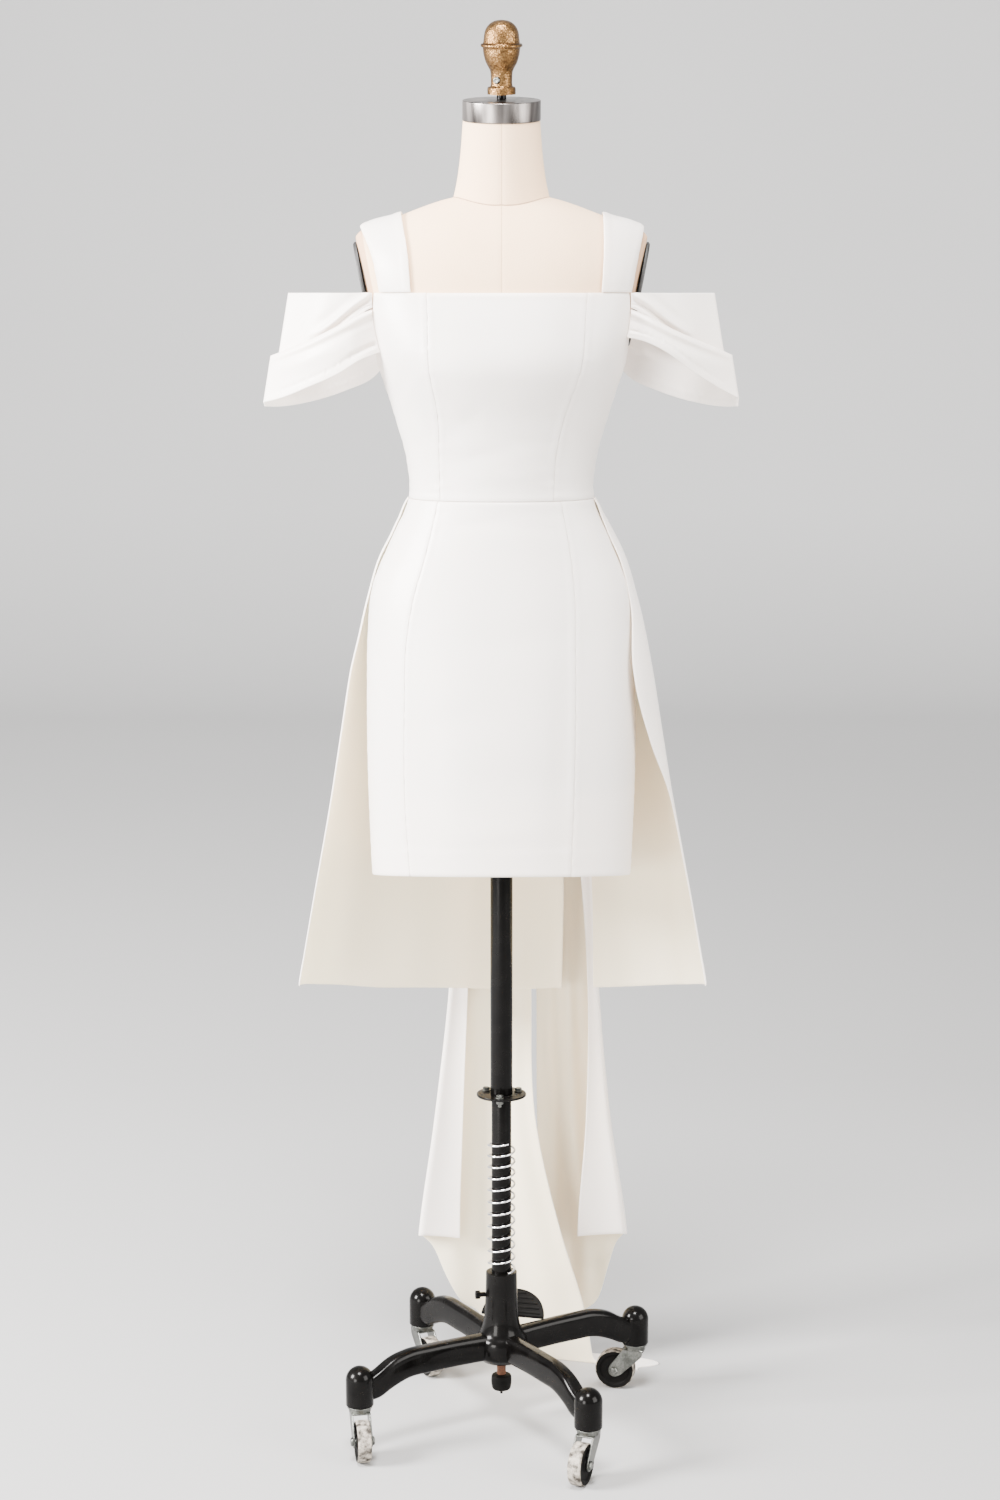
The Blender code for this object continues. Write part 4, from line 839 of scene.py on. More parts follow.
def hammered_brass():
    """Aged brass with a beaten surface: small shallow cells, darker in the hollows, and a near-black ring of painted
    shade under the brim.
    """
    s = Shader("hammered_brass", (0.34, 0.20, 0.09), 0.34, 1.0)
    place = s.coords()
    cells = s.node("ShaderNodeTexVoronoi", Scale=420.0)
    s.link(place, cells.inputs["Vector"])
    tone = s.group(shared("mottle", mottle_group), Vector=place, Scale=40.0, Contrast=1.6)
    colour = mixed(s.tree, tone.outputs["Mask"], (0.11, 0.055, 0.018), (0.40, 0.235, 0.095))
    split = s.node("ShaderNodeSeparateXYZ")
    s.link(place, split.inputs[0])
    # Painted shade: a near-black band at the height of the brim, over its underside.
    under = mathed(s.tree, "ABSOLUTE", mathed(s.tree, "SUBTRACT", split.outputs[2], BRIM_Z))
    ring = mathed(s.tree, "SUBTRACT", 1.0, mathed(s.tree, "MULTIPLY", under, 450.0), True)
    colour = mixed(s.tree, ring, colour, (0.020, 0.010, 0.005))
    s.feed(mixed(s.tree, cells.outputs["Distance"], colour, (0.08, 0.038, 0.014)), "Base Color")
    rough = mathed(s.tree, "MULTIPLY_ADD", tone.outputs["Mask"], -0.25)
    rough.node.inputs[2].default_value = 0.52
    s.feed(rough, "Roughness")
    relief = s.node("ShaderNodeBump", Strength=0.6, Distance=0.0008)
    s.link(cells.outputs["Distance"], relief.inputs["Height"])
    s.feed(relief.outputs[0], "Normal")
    return s


def enamel():
    """Gloss black enamel over a casting: faint orange peel and dust that dulls it in places."""
    s = Shader("black_enamel", (0.0030, 0.0028, 0.0026), 0.22, 0.0, Specular_IOR_Level=0.05, Coat_Weight=0.10,
               Coat_Roughness=0.05)
    place = s.coords()
    dust = s.group(shared("mottle", mottle_group), Vector=place, Scale=45.0, Contrast=1.8)
    black = mixed(s.tree, dust.outputs["Mask"], (0.0007, 0.0006, 0.0006), (0.0026, 0.0024, 0.0022))
    s.feed(black, "Base Color")
    rough = mathed(s.tree, "MULTIPLY_ADD", dust.outputs["Mask"], 0.22)
    rough.node.inputs[2].default_value = 0.13
    s.feed(rough, "Roughness")
    peel = s.node("ShaderNodeTexNoise", Scale=320.0, Detail=2.0)
    s.link(place, peel.inputs["Vector"])
    relief = s.node("ShaderNodeBump", Strength=0.12, Distance=0.0004)
    s.link(peel.outputs["Fac"], relief.inputs["Height"])
    s.feed(relief.outputs[0], "Normal")
    return s


def worn(name, dark, light, roughness, metallic, scale, contrast=1.6, strength=0.25, gloss=0.4):
    """Two tones broken by noise, the lighter one rubbed: for rubber, tread, rust and dull plates."""
    s = Shader(name, dark, roughness, metallic, Specular_IOR_Level=gloss)
    place = s.coords()
    rub = s.group(shared("mottle", mottle_group), Vector=place, Scale=scale, Contrast=contrast)
    fine = s.node("ShaderNodeTexNoise", Scale=scale * 8, Detail=5.0)
    s.link(place, fine.inputs["Vector"])
    both = mathed(s.tree, "MULTIPLY", rub.outputs["Mask"], fine.outputs["Fac"])
    mask = mathed(s.tree, "MULTIPLY", both, 2.2, True)
    s.feed(mixed(s.tree, mask, dark, light), "Base Color")
    rough = mathed(s.tree, "MULTIPLY_ADD", mask, 0.15)
    rough.node.inputs[2].default_value = roughness - 0.07
    s.feed(rough, "Roughness")
    relief = s.node("ShaderNodeBump", Strength=strength, Distance=0.0005)
    s.link(fine.outputs["Fac"], relief.inputs["Height"])
    s.feed(relief.outputs[0], "Normal")
    return s


RECIPES = {
    "satin": satin_face,
    "satin_reverse_shaded": satin_back_shaded,
    "linen": linen,
    "thread": lambda: worn("seam_thread", (0.30, 0.19, 0.12), (0.48, 0.33, 0.22), 0.8, 0.0, 200.0),
    "plate": lambda: worn("dark_plate", (0.012, 0.012, 0.012), (0.030, 0.030, 0.030), 0.5, 0.2, 40.0),
    # Neck cap: vertical streaks down to 0.22 of the colour, painted reflections.
    "steel": lambda: brushed("brushed_steel", (0.31, 0.283, 0.27), 0.30, (1.6, 1.6, 0.02), 0.22,
                             Anisotropic=0.5),
    "zinc": lambda: worn("zinc_plate", (0.05, 0.052, 0.048), (0.19, 0.195, 0.18), 0.34, 1.0, 60.0),
    "chrome": lambda: worn("chrome_wire", (0.60, 0.60, 0.61), (0.82, 0.82, 0.83), 0.17, 1.0, 80.0, 1.0, 0.06),
    "brass": hammered_brass,
    "enamel": enamel,
    "rubber": lambda: worn("black_rubber", (0.0012, 0.0012, 0.0011), (0.005, 0.0047, 0.0043), 0.6, 0.0, 90.0,
                           gloss=0.06),
    "tread": lambda: worn("worn_tread", (0.035, 0.030, 0.025), (0.36, 0.325, 0.275), 0.8, 0.0, 130.0, 3.4,
                          0.8, 0.15),
    "rust": lambda: worn("rusty_rod", (0.030, 0.012, 0.006), (0.12, 0.045, 0.020), 0.8, 0.2, 120.0, 2.0, 0.6),
}


# Fitted panels


def seam_roll(distance, depth=0.00012, width=0.0009, ridge=0.00042):
    """Relief beside a seam: the edge rolls in by a bell curve, and the pressed allowance lifts a low ridge."""
    return -depth * bump(distance, 0.0, width) + ridge * bump(distance, 0.0050, 0.0034)


def puckers(distance, along, seed, height=0.00022, reach=0.011):
    """Little waves across a seam: three sines of unlike length along it, fading with the distance from it."""
    wave = np.sin(along * 262 + seed) + 0.7 * np.sin(along * 411 + 2.1 * seed)
    wave = wave + 0.5 * np.sin(along * 633 + seed**2)
    return height * wave * np.exp(-distance / reach)


def creases(across, up, rows):
    """Soft troughs and ridges: each row gives centre, direction in degrees, length, width and height, and adds
    a bell across its line times a bell along it."""
    total = 0.0 * across
    for x, z, degrees, length, width, height in rows:
        c, s = math.cos(math.radians(degrees)), math.sin(math.radians(degrees))
        along = (across - x) * c + (up - z) * s
        beside = (up - z) * c - (across - x) * s
        total = total + height * bump(along, 0.0, length) * bump(beside, 0.0, width)
    return total


BODICE_CREASES = (
    (-0.020, 1.290, 12.0, 0.045, 0.010, -0.0009),
    (0.030, 1.305, -9.0, 0.040, 0.011, -0.0008),
    (0.005, 1.262, 3.0, 0.060, 0.009, 0.0006),
    (-0.045, 1.330, 38.0, 0.040, 0.012, -0.0007),
    (0.050, 1.345, -42.0, 0.040, 0.012, -0.0008),
    (0.000, 1.375, 0.0, 0.070, 0.014, -0.0009),
    (-0.110, 1.300, 30.0, 0.030, 0.009, -0.0008),
    (0.100, 1.310, -33.0, 0.032, 0.009, -0.0008),
    (-0.120, 1.380, 60.0, 0.035, 0.010, -0.0007),
    (0.125, 1.400, -58.0, 0.035, 0.010, -0.0007),
    (0.080, 1.450, -75.0, 0.030, 0.012, -0.0005),
)
SKIRT_CREASES = (
    (-0.030, 1.205, 8.0, 0.050, 0.008, -0.0008),
    (0.045, 1.198, -10.0, 0.045, 0.008, -0.0007),
    (0.010, 1.060, 4.0, 0.085, 0.022, -0.0011),
    (-0.060, 0.960, 14.0, 0.060, 0.020, -0.0009),
    (0.030, 0.885, -6.0, 0.080, 0.018, -0.0010),
    (0.000, 0.820, 3.0, 0.070, 0.014, 0.0008),
    (-0.130, 1.120, 55.0, 0.040, 0.012, -0.0009),
    (0.125, 1.110, -55.0, 0.040, 0.012, -0.0009),
    (0.075, 0.930, 88.0, 0.120, 0.014, -0.0008),
    (-0.090, 0.900, 92.0, 0.110, 0.016, -0.0008),
)


def bust(angle, z):
    """Fuller bust in front: a bell up the body and a shallow hollow under it, times the forward sine squared."""
    bells = 0.0050 * bump(z, 1.398, 0.034) - 0.0014 * bump(z, 1.322, 0.022)
    return bells * np.maximum(-np.sin(angle), 0.0) ** 2


def fitted_panel(name, start, stop, low, high, shape, marks, columns=64, rows=96, hem=0.0):
    """Panel of the body's section from one seam to the next and from its lower to its upper edge, grown by the
    ease, the wall, the rolled seams, puckers and creases."""
    wall = bpy.context.scene.dress_settings.cloth_wall
    strength = bpy.context.scene.dress_settings.fold_strength
    even = np.linspace(-1.0, 1.0, columns)[None, :]
    across = (even + 0.35 * np.sin(math.pi * even) / math.pi + 1.0) / 2.0
    across = (across - across[:, :1]) / (across[:, -1:] - across[:, :1])
    down = np.linspace(0.0, 1.0, rows)[:, None]
    down = down - 0.4 * np.sin(math.tau * down) / math.tau
    bottom, top = low(across), high(across)
    z = top + (bottom - top) * down
    angle = start(z) + (stop(z) - start(z)) * across
    flat = section(angle, z, CLEAR + wall)
    run = arc_lengths(flat, 1)
    near = np.minimum(run, run[:, -1:] - run)
    fall = arc_lengths(flat, 0)
    edge = np.minimum(fall, fall[-1:] - fall)
    side = np.where(np.sin(angle) < 0, 1.0, -1.0)
    relief = seam_roll(near) + puckers(near, z, shape)
    relief = relief - 0.0004 * bump(edge, 0.0, 0.0018) + 0.00025 * bump(edge, 0.005, 0.003)
    if hem:
        relief = relief + 0.0003 * ramp(-(fall[-1:] - fall), -hem, -hem + 0.004)
    if name.startswith("bodice"):
        relief = relief + strength * bust(angle, z)
    soft = creases(flat[..., 0] * side, z, marks)
    relief = relief + soft * strength * ramp(near, 0.0, 0.012)
    return cloth(name, section(angle, z, CLEAR + wall + relief), flip=True)


def side_angle(side, back=False):
    hair = 0.0002
    forward = math.pi + hair if side < 0 else -hair
    behind = math.pi - hair if side < 0 else hair
    return behind if back else forward


def fitted_panels(prefix, seams, low_z, high_z, top, bottom, marks, hem=0.0):
    """Centre front, side fronts and backs between the princess, side and centre back seams."""
    def seam(side, gap):
        word = "left" if side < 0 else "right"
        return lambda z: angle_in_front(side * (curve(seams, word, z) + gap), z)

    gap = 0.00005
    spans = [(prefix + "_front", seam(-1, -gap), seam(1, -gap))]
    for side, word in ((-1, "left"), (1, "right")):
        forward = side_angle(side) if side > 0 else side_angle(side) - math.tau
        spans.append((prefix + "_side_front_" + word, seam(side, gap), lambda z, a=forward: a + 0 * z))
        behind = side_angle(side, back=True)
        middle = lambda z, s=side: -angle_in_front(s * gap, z)
        spans.append((prefix + "_back_" + word, lambda z, a=behind: a + 0 * z, middle))
    made = []
    for number, (name, start, stop) in enumerate(spans):
        first, last = float(start(np.array(high_z))), float(stop(np.array(high_z)))
        if first > last:
            start, stop = stop, start

        def ends(z, across, start=start, stop=stop):
            level = np.full(across.shape, z)
            return start(level) + (stop(level) - start(level)) * across

        low = lambda across, ends=ends: bottom(ends(low_z, across))
        high = lambda across, ends=ends: top(ends(high_z, across))
        made.append(fitted_panel(name, start, stop, low, high, 1.0 + number, marks, hem=hem))
    return made


def bodice_top(angle):
    """Level in front and behind; round the arm it falls with the share of the armhole's angle to its power."""
    turn = np.abs(np.arctan2(np.sin(angle), np.cos(angle)))
    turn = np.minimum(turn, math.pi - turn)
    share = np.clip(np.degrees(turn) / ARMHOLE_ANGLE, 0.0, 1.0)
    return UNDERARM_Z + (NECKLINE_Z - UNDERARM_Z) * share**ARMHOLE_POWER


def skirt_hem(angle):
    y = section(angle, np.full(np.shape(angle), 0.75))[..., 1]
    return HEM_FRONT_Z - HEM_FALL * (y - HEM_FRONT_Y)


def make_bodice():
    fitted_panels("bodice", BODICE_SEAMS, WAIST_Z, NECKLINE_Z, bodice_top,
                  lambda angle: WAIST_Z + SEAM / 2 + 0 * angle, BODICE_CREASES)


def make_skirt():
    fitted_panels("skirt", SKIRT_SEAMS, 0.75, WAIST_Z, lambda angle: WAIST_Z - SEAM / 2 + 0 * angle, skirt_hem,
                  SKIRT_CREASES, hem=0.035)


def make_straps():
    """Straps: a band of the shoulders' arches between two edges, from the front neckline to the back one."""
    wall = bpy.context.scene.dress_settings.cloth_wall
    for side, word in ((-1, "left"), (1, "right")):
        lift = 0.0005 / (SHOULDER["z"][2] - NECKLINE_Z)
        first = math.asin(lift ** (DOME_POWER / 2))
        swing = np.linspace(first, math.pi - first, 120)
        rise = np.abs(power_sin(swing, DOME_POWER))
        inner = curve(STRAPS, word + "_inner", rise, "rise")[:, None]
        outer = curve(STRAPS, word + "_outer", rise, "rise")[:, None]
        across = np.linspace(0.0, 1.0, 40)[None, :]
        x = inner + (outer - inner) * across
        widest = BODY["half_width"][-1] + SIDE_FLARE * rise * (SHOULDER["z"][2] - NECKLINE_Z)
        share = side * np.minimum(x / widest[:, None], 0.985)
        swings = np.broadcast_to(swing[:, None], share.shape)
        near = np.minimum(x - inner, outer - x)
        relief = -0.0003 * bump(near, 0.0, 0.0015) + 0.0003 * bump(near, 0.006, 0.003)
        relief = relief + puckers(near, swings * 0.09, 3.0 + side, 0.00012)
        points = dome(share, swings, CLEAR + wall + relief)
        cloth("strap_" + word, points, flip=side < 0)


# Overskirt, tails and drapes


def make_overskirt():
    """Two halves of the flared overskirt, from the sides round to the slit behind; over the hip the front edge
    leans in by a bell of its distance to the edge."""
    strength = bpy.context.scene.dress_settings.fold_strength
    down = np.linspace(0.0, 1.0, 140)[:, None]
    across = np.linspace(0.0, 1.0, 104)[None, :]
    top = WAIST_Z - SEAM / 2
    for word in ("left", "right"):
        def limits(z):
            slit = over_angle(curve(SLIT, word + "_edge", z), z)
            if word == "left":
                return slit, np.full(z.shape, math.pi)
            return -np.radians(curve(OVERSKIRT, "right_start", z)), slit

        start, stop = limits(np.full(across.shape, OVER_HEM_SIDE_Z))
        at_hem = start + (stop - start) * across
        swing = np.abs(np.sin(np.maximum(at_hem, 0.0))) ** OVER_HEM_POWER
        drop = OVER_HEM_SIDE_Z - (OVER_HEM_SIDE_Z - OVER_HEM_BACK_Z) * swing
        z = top + (drop - top) * down
        start, stop = limits(z)
        angle = start + (stop - start) * across
        flat = over_point(angle, z)
        run = arc_lengths(flat, 1)
        near = np.minimum(run, run[:, -1:] - run)
        fall = arc_lengths(flat, 0)
        edge = fall[-1:] - fall
        low = ramp(-z, -1.05, -0.62)
        wave = 0.0016 * np.sin(angle * 7.3 + 2.0 * z) + 0.0010 * np.sin(angle * 16.1 + 1.3 - 3.0 * z)
        relief = strength * low * wave - 0.0006 * bump(near, 0.0, 0.002) + 0.0004 * bump(near, 0.012, 0.006)
        relief = relief - 0.0005 * bump(edge, 0.0, 0.002) + 0.0003 * ramp(-edge, -0.034, -0.030)
        front = run[:, -1:] - run if word == "left" else run
        hip = (0.0030 + 0.0026 * bump(z, 1.182, 0.022)) * ramp(z, 1.0, 1.07) * (1 - ramp(z, 1.205, 1.226))
        relief = relief - hip * bump(front, 0.0, 0.028)
        cloth("overskirt_" + word, over_point(angle, z, relief), flip=True, offset=0.0)


def seated(x, y, z, off):
    """Depth of a tail: its own lower down, and lying on the overskirt near the waist seam."""
    half = curve(OVERSKIRT, "half_width", z)
    thin = (1 - np.abs(x / half) ** OVER_POWER) ** (1 / OVER_POWER)
    skirt_y = curve(OVERSKIRT, "middle_y", z) + curve(OVERSKIRT, "back", z) * thin
    return y + (skirt_y + off - y) * ramp(z, 1.13, 1.215)


def tail_path(ends, share, along, wall):
    """A column of the back layer: straight down, round a quarter circle onto the floor, then along its
    heading, all by the length run; columns that don't land stop at their end height."""
    end_z = np.maximum(curve(ends, "end_z", share, "share"), wall / 2)
    run = np.maximum(curve(ends, "run", share, "share"), 0.0)
    top = WAIST_Z - SEAM / 2
    lands = end_z < 0.02
    floor = wall / 2
    bend = np.where(lands, FLOOR_BEND * (math.pi / 2 - 2), 0.0)
    length = top - np.where(lands, floor, end_z) + np.where(lands, run, 0.0) + bend
    gone = length * along
    drop = top - floor - FLOOR_BEND
    on_floor = gone - drop - FLOOR_BEND * math.pi / 2
    turn = np.clip((gone - drop) / FLOOR_BEND, 0.0, math.pi / 2)
    z = np.where(gone < drop, top - gone, floor + FLOOR_BEND * (1 - np.sin(turn)))
    forward = np.where(gone < drop, 0.0, FLOOR_BEND * (1 - np.cos(turn)) + np.maximum(on_floor, 0.0))
    heading = np.radians(curve(ends, "heading", share, "share"))
    return z, forward * np.cos(heading), forward * np.sin(heading)


def make_tail(word, rows, ends, lean, phase):
    """A wide streamer: flap folded forward, round fold, and the back layer with its belly, lean and ripples,
    two sines across it that deepen as it hangs."""
    wall = bpy.context.scene.dress_settings.cloth_wall
    strength = bpy.context.scene.dress_settings.fold_strength
    along = np.linspace(0.0, 1.0, 220)[:, None]
    share = np.linspace(0.0, 1.0, 50)[None, :]
    z, dx, dy = tail_path(ends, share, along, wall)
    fold, inner = curve(rows, "fold", z), curve(rows, "inner", z)
    back_y = curve(rows, "back_y", z)
    x = fold + (inner - fold) * share + dx
    belly = np.sin(math.pi * share) * 0.010 * ramp(-z, -1.1, -0.5)
    hang = strength * ramp(-z, -1.12, -0.45) * ramp(z, 0.02, 0.12)
    ripple = 0.0042 * np.sin(math.tau * 1.6 * share + phase) + 0.0022 * np.sin(math.tau * 3.3 * share + 2.0 * z)
    belly = belly + hang * ripple * np.sin(math.pi * np.clip(share * 1.06, 0.0, 1.0)) ** 0.6
    y = back_y + belly + lean * share**2 * ramp(-z, -1.0, -0.3) + dy
    back = np.stack([x, seated(x, y, z, TAIL_SEAT + 0.0024), z], -1)
    to_end = np.linspace(0.0, 1.0, 16, endpoint=False)[None, :]
    top = WAIST_Z - SEAM / 2
    flap_z = top + (FLAP_END_Z - 0.004 * (1 - to_end) - top) * along
    free, fold = curve(rows, "free", flap_z), curve(rows, "fold", flap_z)
    flap_x = free + (fold - free) * to_end
    edge = -0.0005 * bump(to_end, 0.0, 0.05) + 0.0020 * np.sin(math.pi * to_end) * ramp(-flap_z, -1.1, -0.5)
    flap_y = curve(rows, "flap_y", flap_z) + edge * strength
    flap = np.stack([flap_x, seated(flap_x, flap_y, flap_z, TAIL_SEAT), flap_z], -1)
    turn = np.linspace(0.0, 1.0, 9)[None, 1:-1]
    bend_z = flap_z[:, -1:] + (z[:, :1] - flap_z[:, -1:]) * turn
    out = np.sign(fold[:, -1:] - free[:, -1:]) * 0.0035 * np.sin(math.pi * turn)
    bend_x = curve(rows, "fold", bend_z) + out
    near, far = curve(rows, "flap_y", bend_z), curve(rows, "back_y", bend_z)
    bend_y = (near + far) / 2 - (far - near) / 2 * np.cos(math.pi * turn)
    bend = np.stack([bend_x, seated(bend_x, bend_y, bend_z, TAIL_SEAT + 0.0024 * turn), bend_z], -1)
    points = np.concatenate([flap, bend, back], axis=1)
    cloth("tail_" + word, points, flip=word == "right", offset=0.0)


def make_tails():
    make_tail("left", TAIL_LEFT, END_LEFT, -0.024, 2.4)
    make_tail("right", TAIL_RIGHT, END_RIGHT, 0.004, 0.6)


def bodice_side(y, z):
    power = curve(BODY, "power", z)
    out = CLEAR + bpy.context.scene.dress_settings.cloth_wall + SLEEVE_SEAT
    depth = np.where(y < 0, curve(BODY, "front", z), curve(BODY, "back", z)) + out
    return (curve(BODY, "half_width", z) + out) * (1 - np.abs(y / depth) ** power) ** (1 / power)


def drape_folds(tier, out, z, fold_z, down, above_edge, seed, strength):
    """Relief of a drape: fine pleats that fan out from the armhole and die away with the distance from it; on
    the upper tier a soft fold over the pocket with a trough under it; on the lower tier a rolled fold along its
    top and a crinkled hem."""
    low_corner = 0.25 + 0.75 * ramp(down, 0.45, 0.8)
    fan = np.exp(-out / 0.14) * ramp(out, 0.0, 0.05) * low_corner
    pleats = fan * (0.0009 * np.sin(21.0 * down + seed) + 0.0006 * np.sin(37.0 * down - 2.0 * seed + 5.0 * out))
    if tier == "upper":
        lift = fold_z + 0.016 * (1 - ramp(out, 0.05, 0.62)) + 0.002
        along = ramp(out, 0.0, 0.08) * (1 - ramp(out, 0.45, 0.75))
        folds = along * (0.0040 * bump(z, lift, 0.0034) - 0.0034 * bump(z, lift - 0.0075, 0.0036))
        folds = folds - 0.0012 * bump(z, lift + 0.012, 0.007) * along
        folds = folds + 0.0010 * np.sin(9.0 * out + 40.0 * (z - 1.40)) * ramp(out, 0.3, 0.6)
    else:
        folds = -0.0030 * bump(fold_z - z, 0.0, 0.0014) + 0.0022 * bump(fold_z - z, 0.0050, 0.0030)
        folds = folds - 0.0012 * bump(fold_z - z, 0.0125, 0.0050)
        ripple = np.sin(88.0 * out + seed) + 0.8 * np.sin(137.0 * out + 2.0 * seed) + 0.6 * np.sin(201.0 * out)
        hem = bump(above_edge, 0.010, 0.0030)
        folds = folds + 0.00030 * ripple * hem * (1 - ramp(out, 0.75, 0.95)) - 0.0006 * hem
        folds = folds + 0.0022 * bump(z, fold_z - 0.030 + 0.012 * out, 0.012) * ramp(out, 0.1, 0.4)
        tuck = fold_z - 0.040 - 0.010 * out
        folds = folds - 0.0026 * bump(z, tuck, 0.0045) * bump(out, 0.16, 0.16) * ramp(out, 0.0, 0.05)
    return strength * (pleats + folds)


def make_sleeves():
    """Two-tier drapes: each tier runs from the front armhole out to a crease and back to the rear armhole."""
    strength = bpy.context.scene.dress_settings.fold_strength
    around = np.linspace(-1.0, 1.0, 181)[None, :]
    down = np.linspace(0.0, 1.0, 40)[:, None]
    out = 1 - np.abs(around)
    behind = around > 0
    for side, word in ((-1, "left"), (1, "right")):
        for tier in ("upper", "lower"):
            crease = UPPER_CREASE_X if tier == "upper" else LOWER_CREASE_X
            plain_x = SLEEVE_START_X + (crease - SLEEVE_START_X) * out
            fold_z = curve(SLEEVE_X, "fold_" + word, plain_x, "x")
            if tier == "upper":
                high = NECKLINE_Z - 0.0002 + 0 * plain_x
                low = fold_z + 0.0015 - UNDERLAP * ramp(out, 0.05, 0.35)
            else:
                high = fold_z
                low = np.where(behind, curve(SLEEVE_X, "back", plain_x, "x"),
                               curve(SLEEVE_X, "front_" + word, plain_x, "x"))
            z = high + (low - high) * down
            fall = NECKLINE_Z - z if tier == "upper" else 1.408 - z
            seat = bodice_side(np.where(behind, SLEEVE_START_Y, -SLEEVE_START_Y), z)
            x = plain_x + CREASE_SLOPE * fall * out + (seat - SLEEVE_START_X) * (1 - out)
            proud = 0.000 if tier == "upper" else 0.0065
            swell = (0.006 if tier == "upper" else 0.012) * np.sin(math.pi * out)
            relief = drape_folds(tier, out, z, fold_z, down, z - low, 1.0 + side, strength)
            depth = SLEEVE_START_Y * (1 - out**1.6)
            depth = depth + (swell + proud * ramp(out, 0.0, 0.25) + relief) * (1 - out**6)
            y = np.where(behind, depth, -depth) + 0 * z
            points = np.stack([side * x, y, z], -1)
            cloth("sleeve_" + tier + "_" + word, points, flip=side > 0, offset=0.0, lining="satin")


# Form


def make_form():
    """Torso of body sections up to the neckline and arches over the shoulders, its sides held to the flats of
    the armholes by a soft minimum, with a seam down the front and back; and the leaning neck."""
    angle = np.radians(np.unique(np.concatenate([
        np.arange(0, 360, 2.0), 270 + np.array([-1.2, -0.8, -0.4, -0.2, 0.2, 0.4, 0.8, 1.2]),
        90 + np.array([-1.2, -0.8, -0.4, -0.2, 0.2, 0.4, 0.8, 1.2])])))
    z = np.concatenate([np.linspace(FORM_BOTTOM_Z, 1.231, 40), np.linspace(1.236, NECKLINE_Z, 46)])[:, None]
    side_seam = np.abs(np.cos(angle))
    groove = -0.0003 * bump(side_seam, 0.0, 0.006) - FORM_EASE
    low = section(angle[None, :] + 0 * z, z + 0 * angle[None, :], groove[None, :])
    rim = low[-1]
    share = np.clip(rim[:, 0] / (BODY["half_width"][-1] - FORM_EASE), -1, 1)
    swing = np.radians(np.linspace(2.0, 90.0, 46))[:, None]
    swings = np.where(rim[None, :, 1] <= 0, swing, math.pi - swing)
    high = dome(np.broadcast_to(share, swings.shape), swings, np.broadcast_to(groove, swings.shape))
    points = np.concatenate([low, high])
    plane = ARM_PLANE_X + SIDE_FLARE * (points[..., 2] - NECKLINE_Z)
    wide = np.abs(points[..., 0])
    soft = 0.0015
    held = plane - soft * np.logaddexp(0.0, (plane - wide) / soft)
    points[..., 0] = np.where(points[..., 2] > 1.36, np.sign(points[..., 0]) * held, points[..., 0])
    points = np.concatenate([np.broadcast_to(points[0].mean(0), points[:1].shape), points])
    uv_points = points.copy()
    faces = grid_faces(len(points), len(angle), True)
    uv = np.stack([arc_lengths(uv_points, 1), arc_lengths(uv_points, 0)], -1)
    torso = mesh_object("form_torso", world(points), faces, [material("linen")], uv)
    turns = np.arange(120) * math.tau / 120
    up = np.linspace(0.0, 1.0, 60)[:, None]
    lean = curve(NECK, "lean", up, "up")
    wide, deep = curve(NECK, "half_width", up, "up"), curve(NECK, "half_depth", up, "up")
    foot, top = np.array(NECK_FOOT), np.array(NECK_TOP)
    middle = foot + (top - foot) * up
    seam = 1 - 0.010 * bump(np.abs(np.cos(turns)), 0.0, 0.03)[None, :]
    along = deep * seam * np.sin(turns)
    x = wide * np.cos(turns) * (1 + 0 * along)
    neck = np.stack([x, middle[:, 1:2] + along * np.cos(lean), middle[:, 2:3] + along * np.sin(lean)], -1)
    uv = np.stack([arc_lengths(neck, 1), arc_lengths(neck, 0)], -1)
    collar = mesh_object("form_neck", world(neck), grid_faces(60, 120, True), [material("linen")], uv)
    above = neck[..., 2] - shoulder_level(neck[..., 0], neck[..., 1])
    first = np.argmax(above > 0, axis=0)
    each = np.arange(neck.shape[1])
    low, high = above[first - 1, each], above[first, each]
    meet = neck[first - 1, each] + (neck[first, each] - neck[first - 1, each]) * (-low / (high - low))[:, None]
    meet[:, :2] *= 1.006
    ring = tube(np.vstack([meet, meet[:1]]), 0.0009, 8)
    spots = ring[0].reshape(-1, 3)[:, ::2]
    cord = mesh_object("neck_seam", world(ring[0]), ring[1], [material("thread")], spots)
    for obj in (torso, collar, cord):
        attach(obj, "stand")
    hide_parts("form_body")
    tilt = math.atan(SIDE_FLARE)
    for side, word in ((-1, "left"), (1, "right")):
        profile = round_profile([(0.0, PLATE_THICK / 2), (0.97, PLATE_THICK / 2), (1.0, 0.0),
                                 (1.0, -PLATE_THICK / 2), (0.0, -PLATE_THICK / 2)], 0.001)
        part = turn_profile(profile, 96)
        stretch = Matrix.Diagonal((PLATE_HALF_HEIGHT, PLATE_HALF_WIDTH, 1.0, 1.0))
        off = (SEAM + PLATE_THICK / 2) / math.cos(tilt)
        at = (side * (ARM_PLANE_X + SIDE_FLARE * (PLATE_Z - NECKLINE_Z) + off), 0.0, PLATE_Z)
        matrix = placed(at, (0.0, side * (math.pi / 2 + tilt), 0.0)) @ stretch
        solid("armhole_plate_" + word, [moved(part, matrix)], [material("plate")], replace=["armhole_plate_" + word])


KNOB_PROFILE = (
    (0.0000, 0.0890), (0.0090, 0.0875), (0.0160, 0.0830), (0.0205, 0.0755), (0.0222, 0.0650),
    (0.0228, 0.0612), (0.0255, 0.0600), (0.0255, 0.0572), (0.0232, 0.0556), (0.0222, 0.0480),
    (0.0195, 0.0385), (0.0150, 0.0300), (0.0135, 0.0240), (0.0135, 0.0105), (0.0172, 0.0080),
    (0.0175, 0.0010), (0.0165, 0.0000), (0.0000, 0.0000),
)


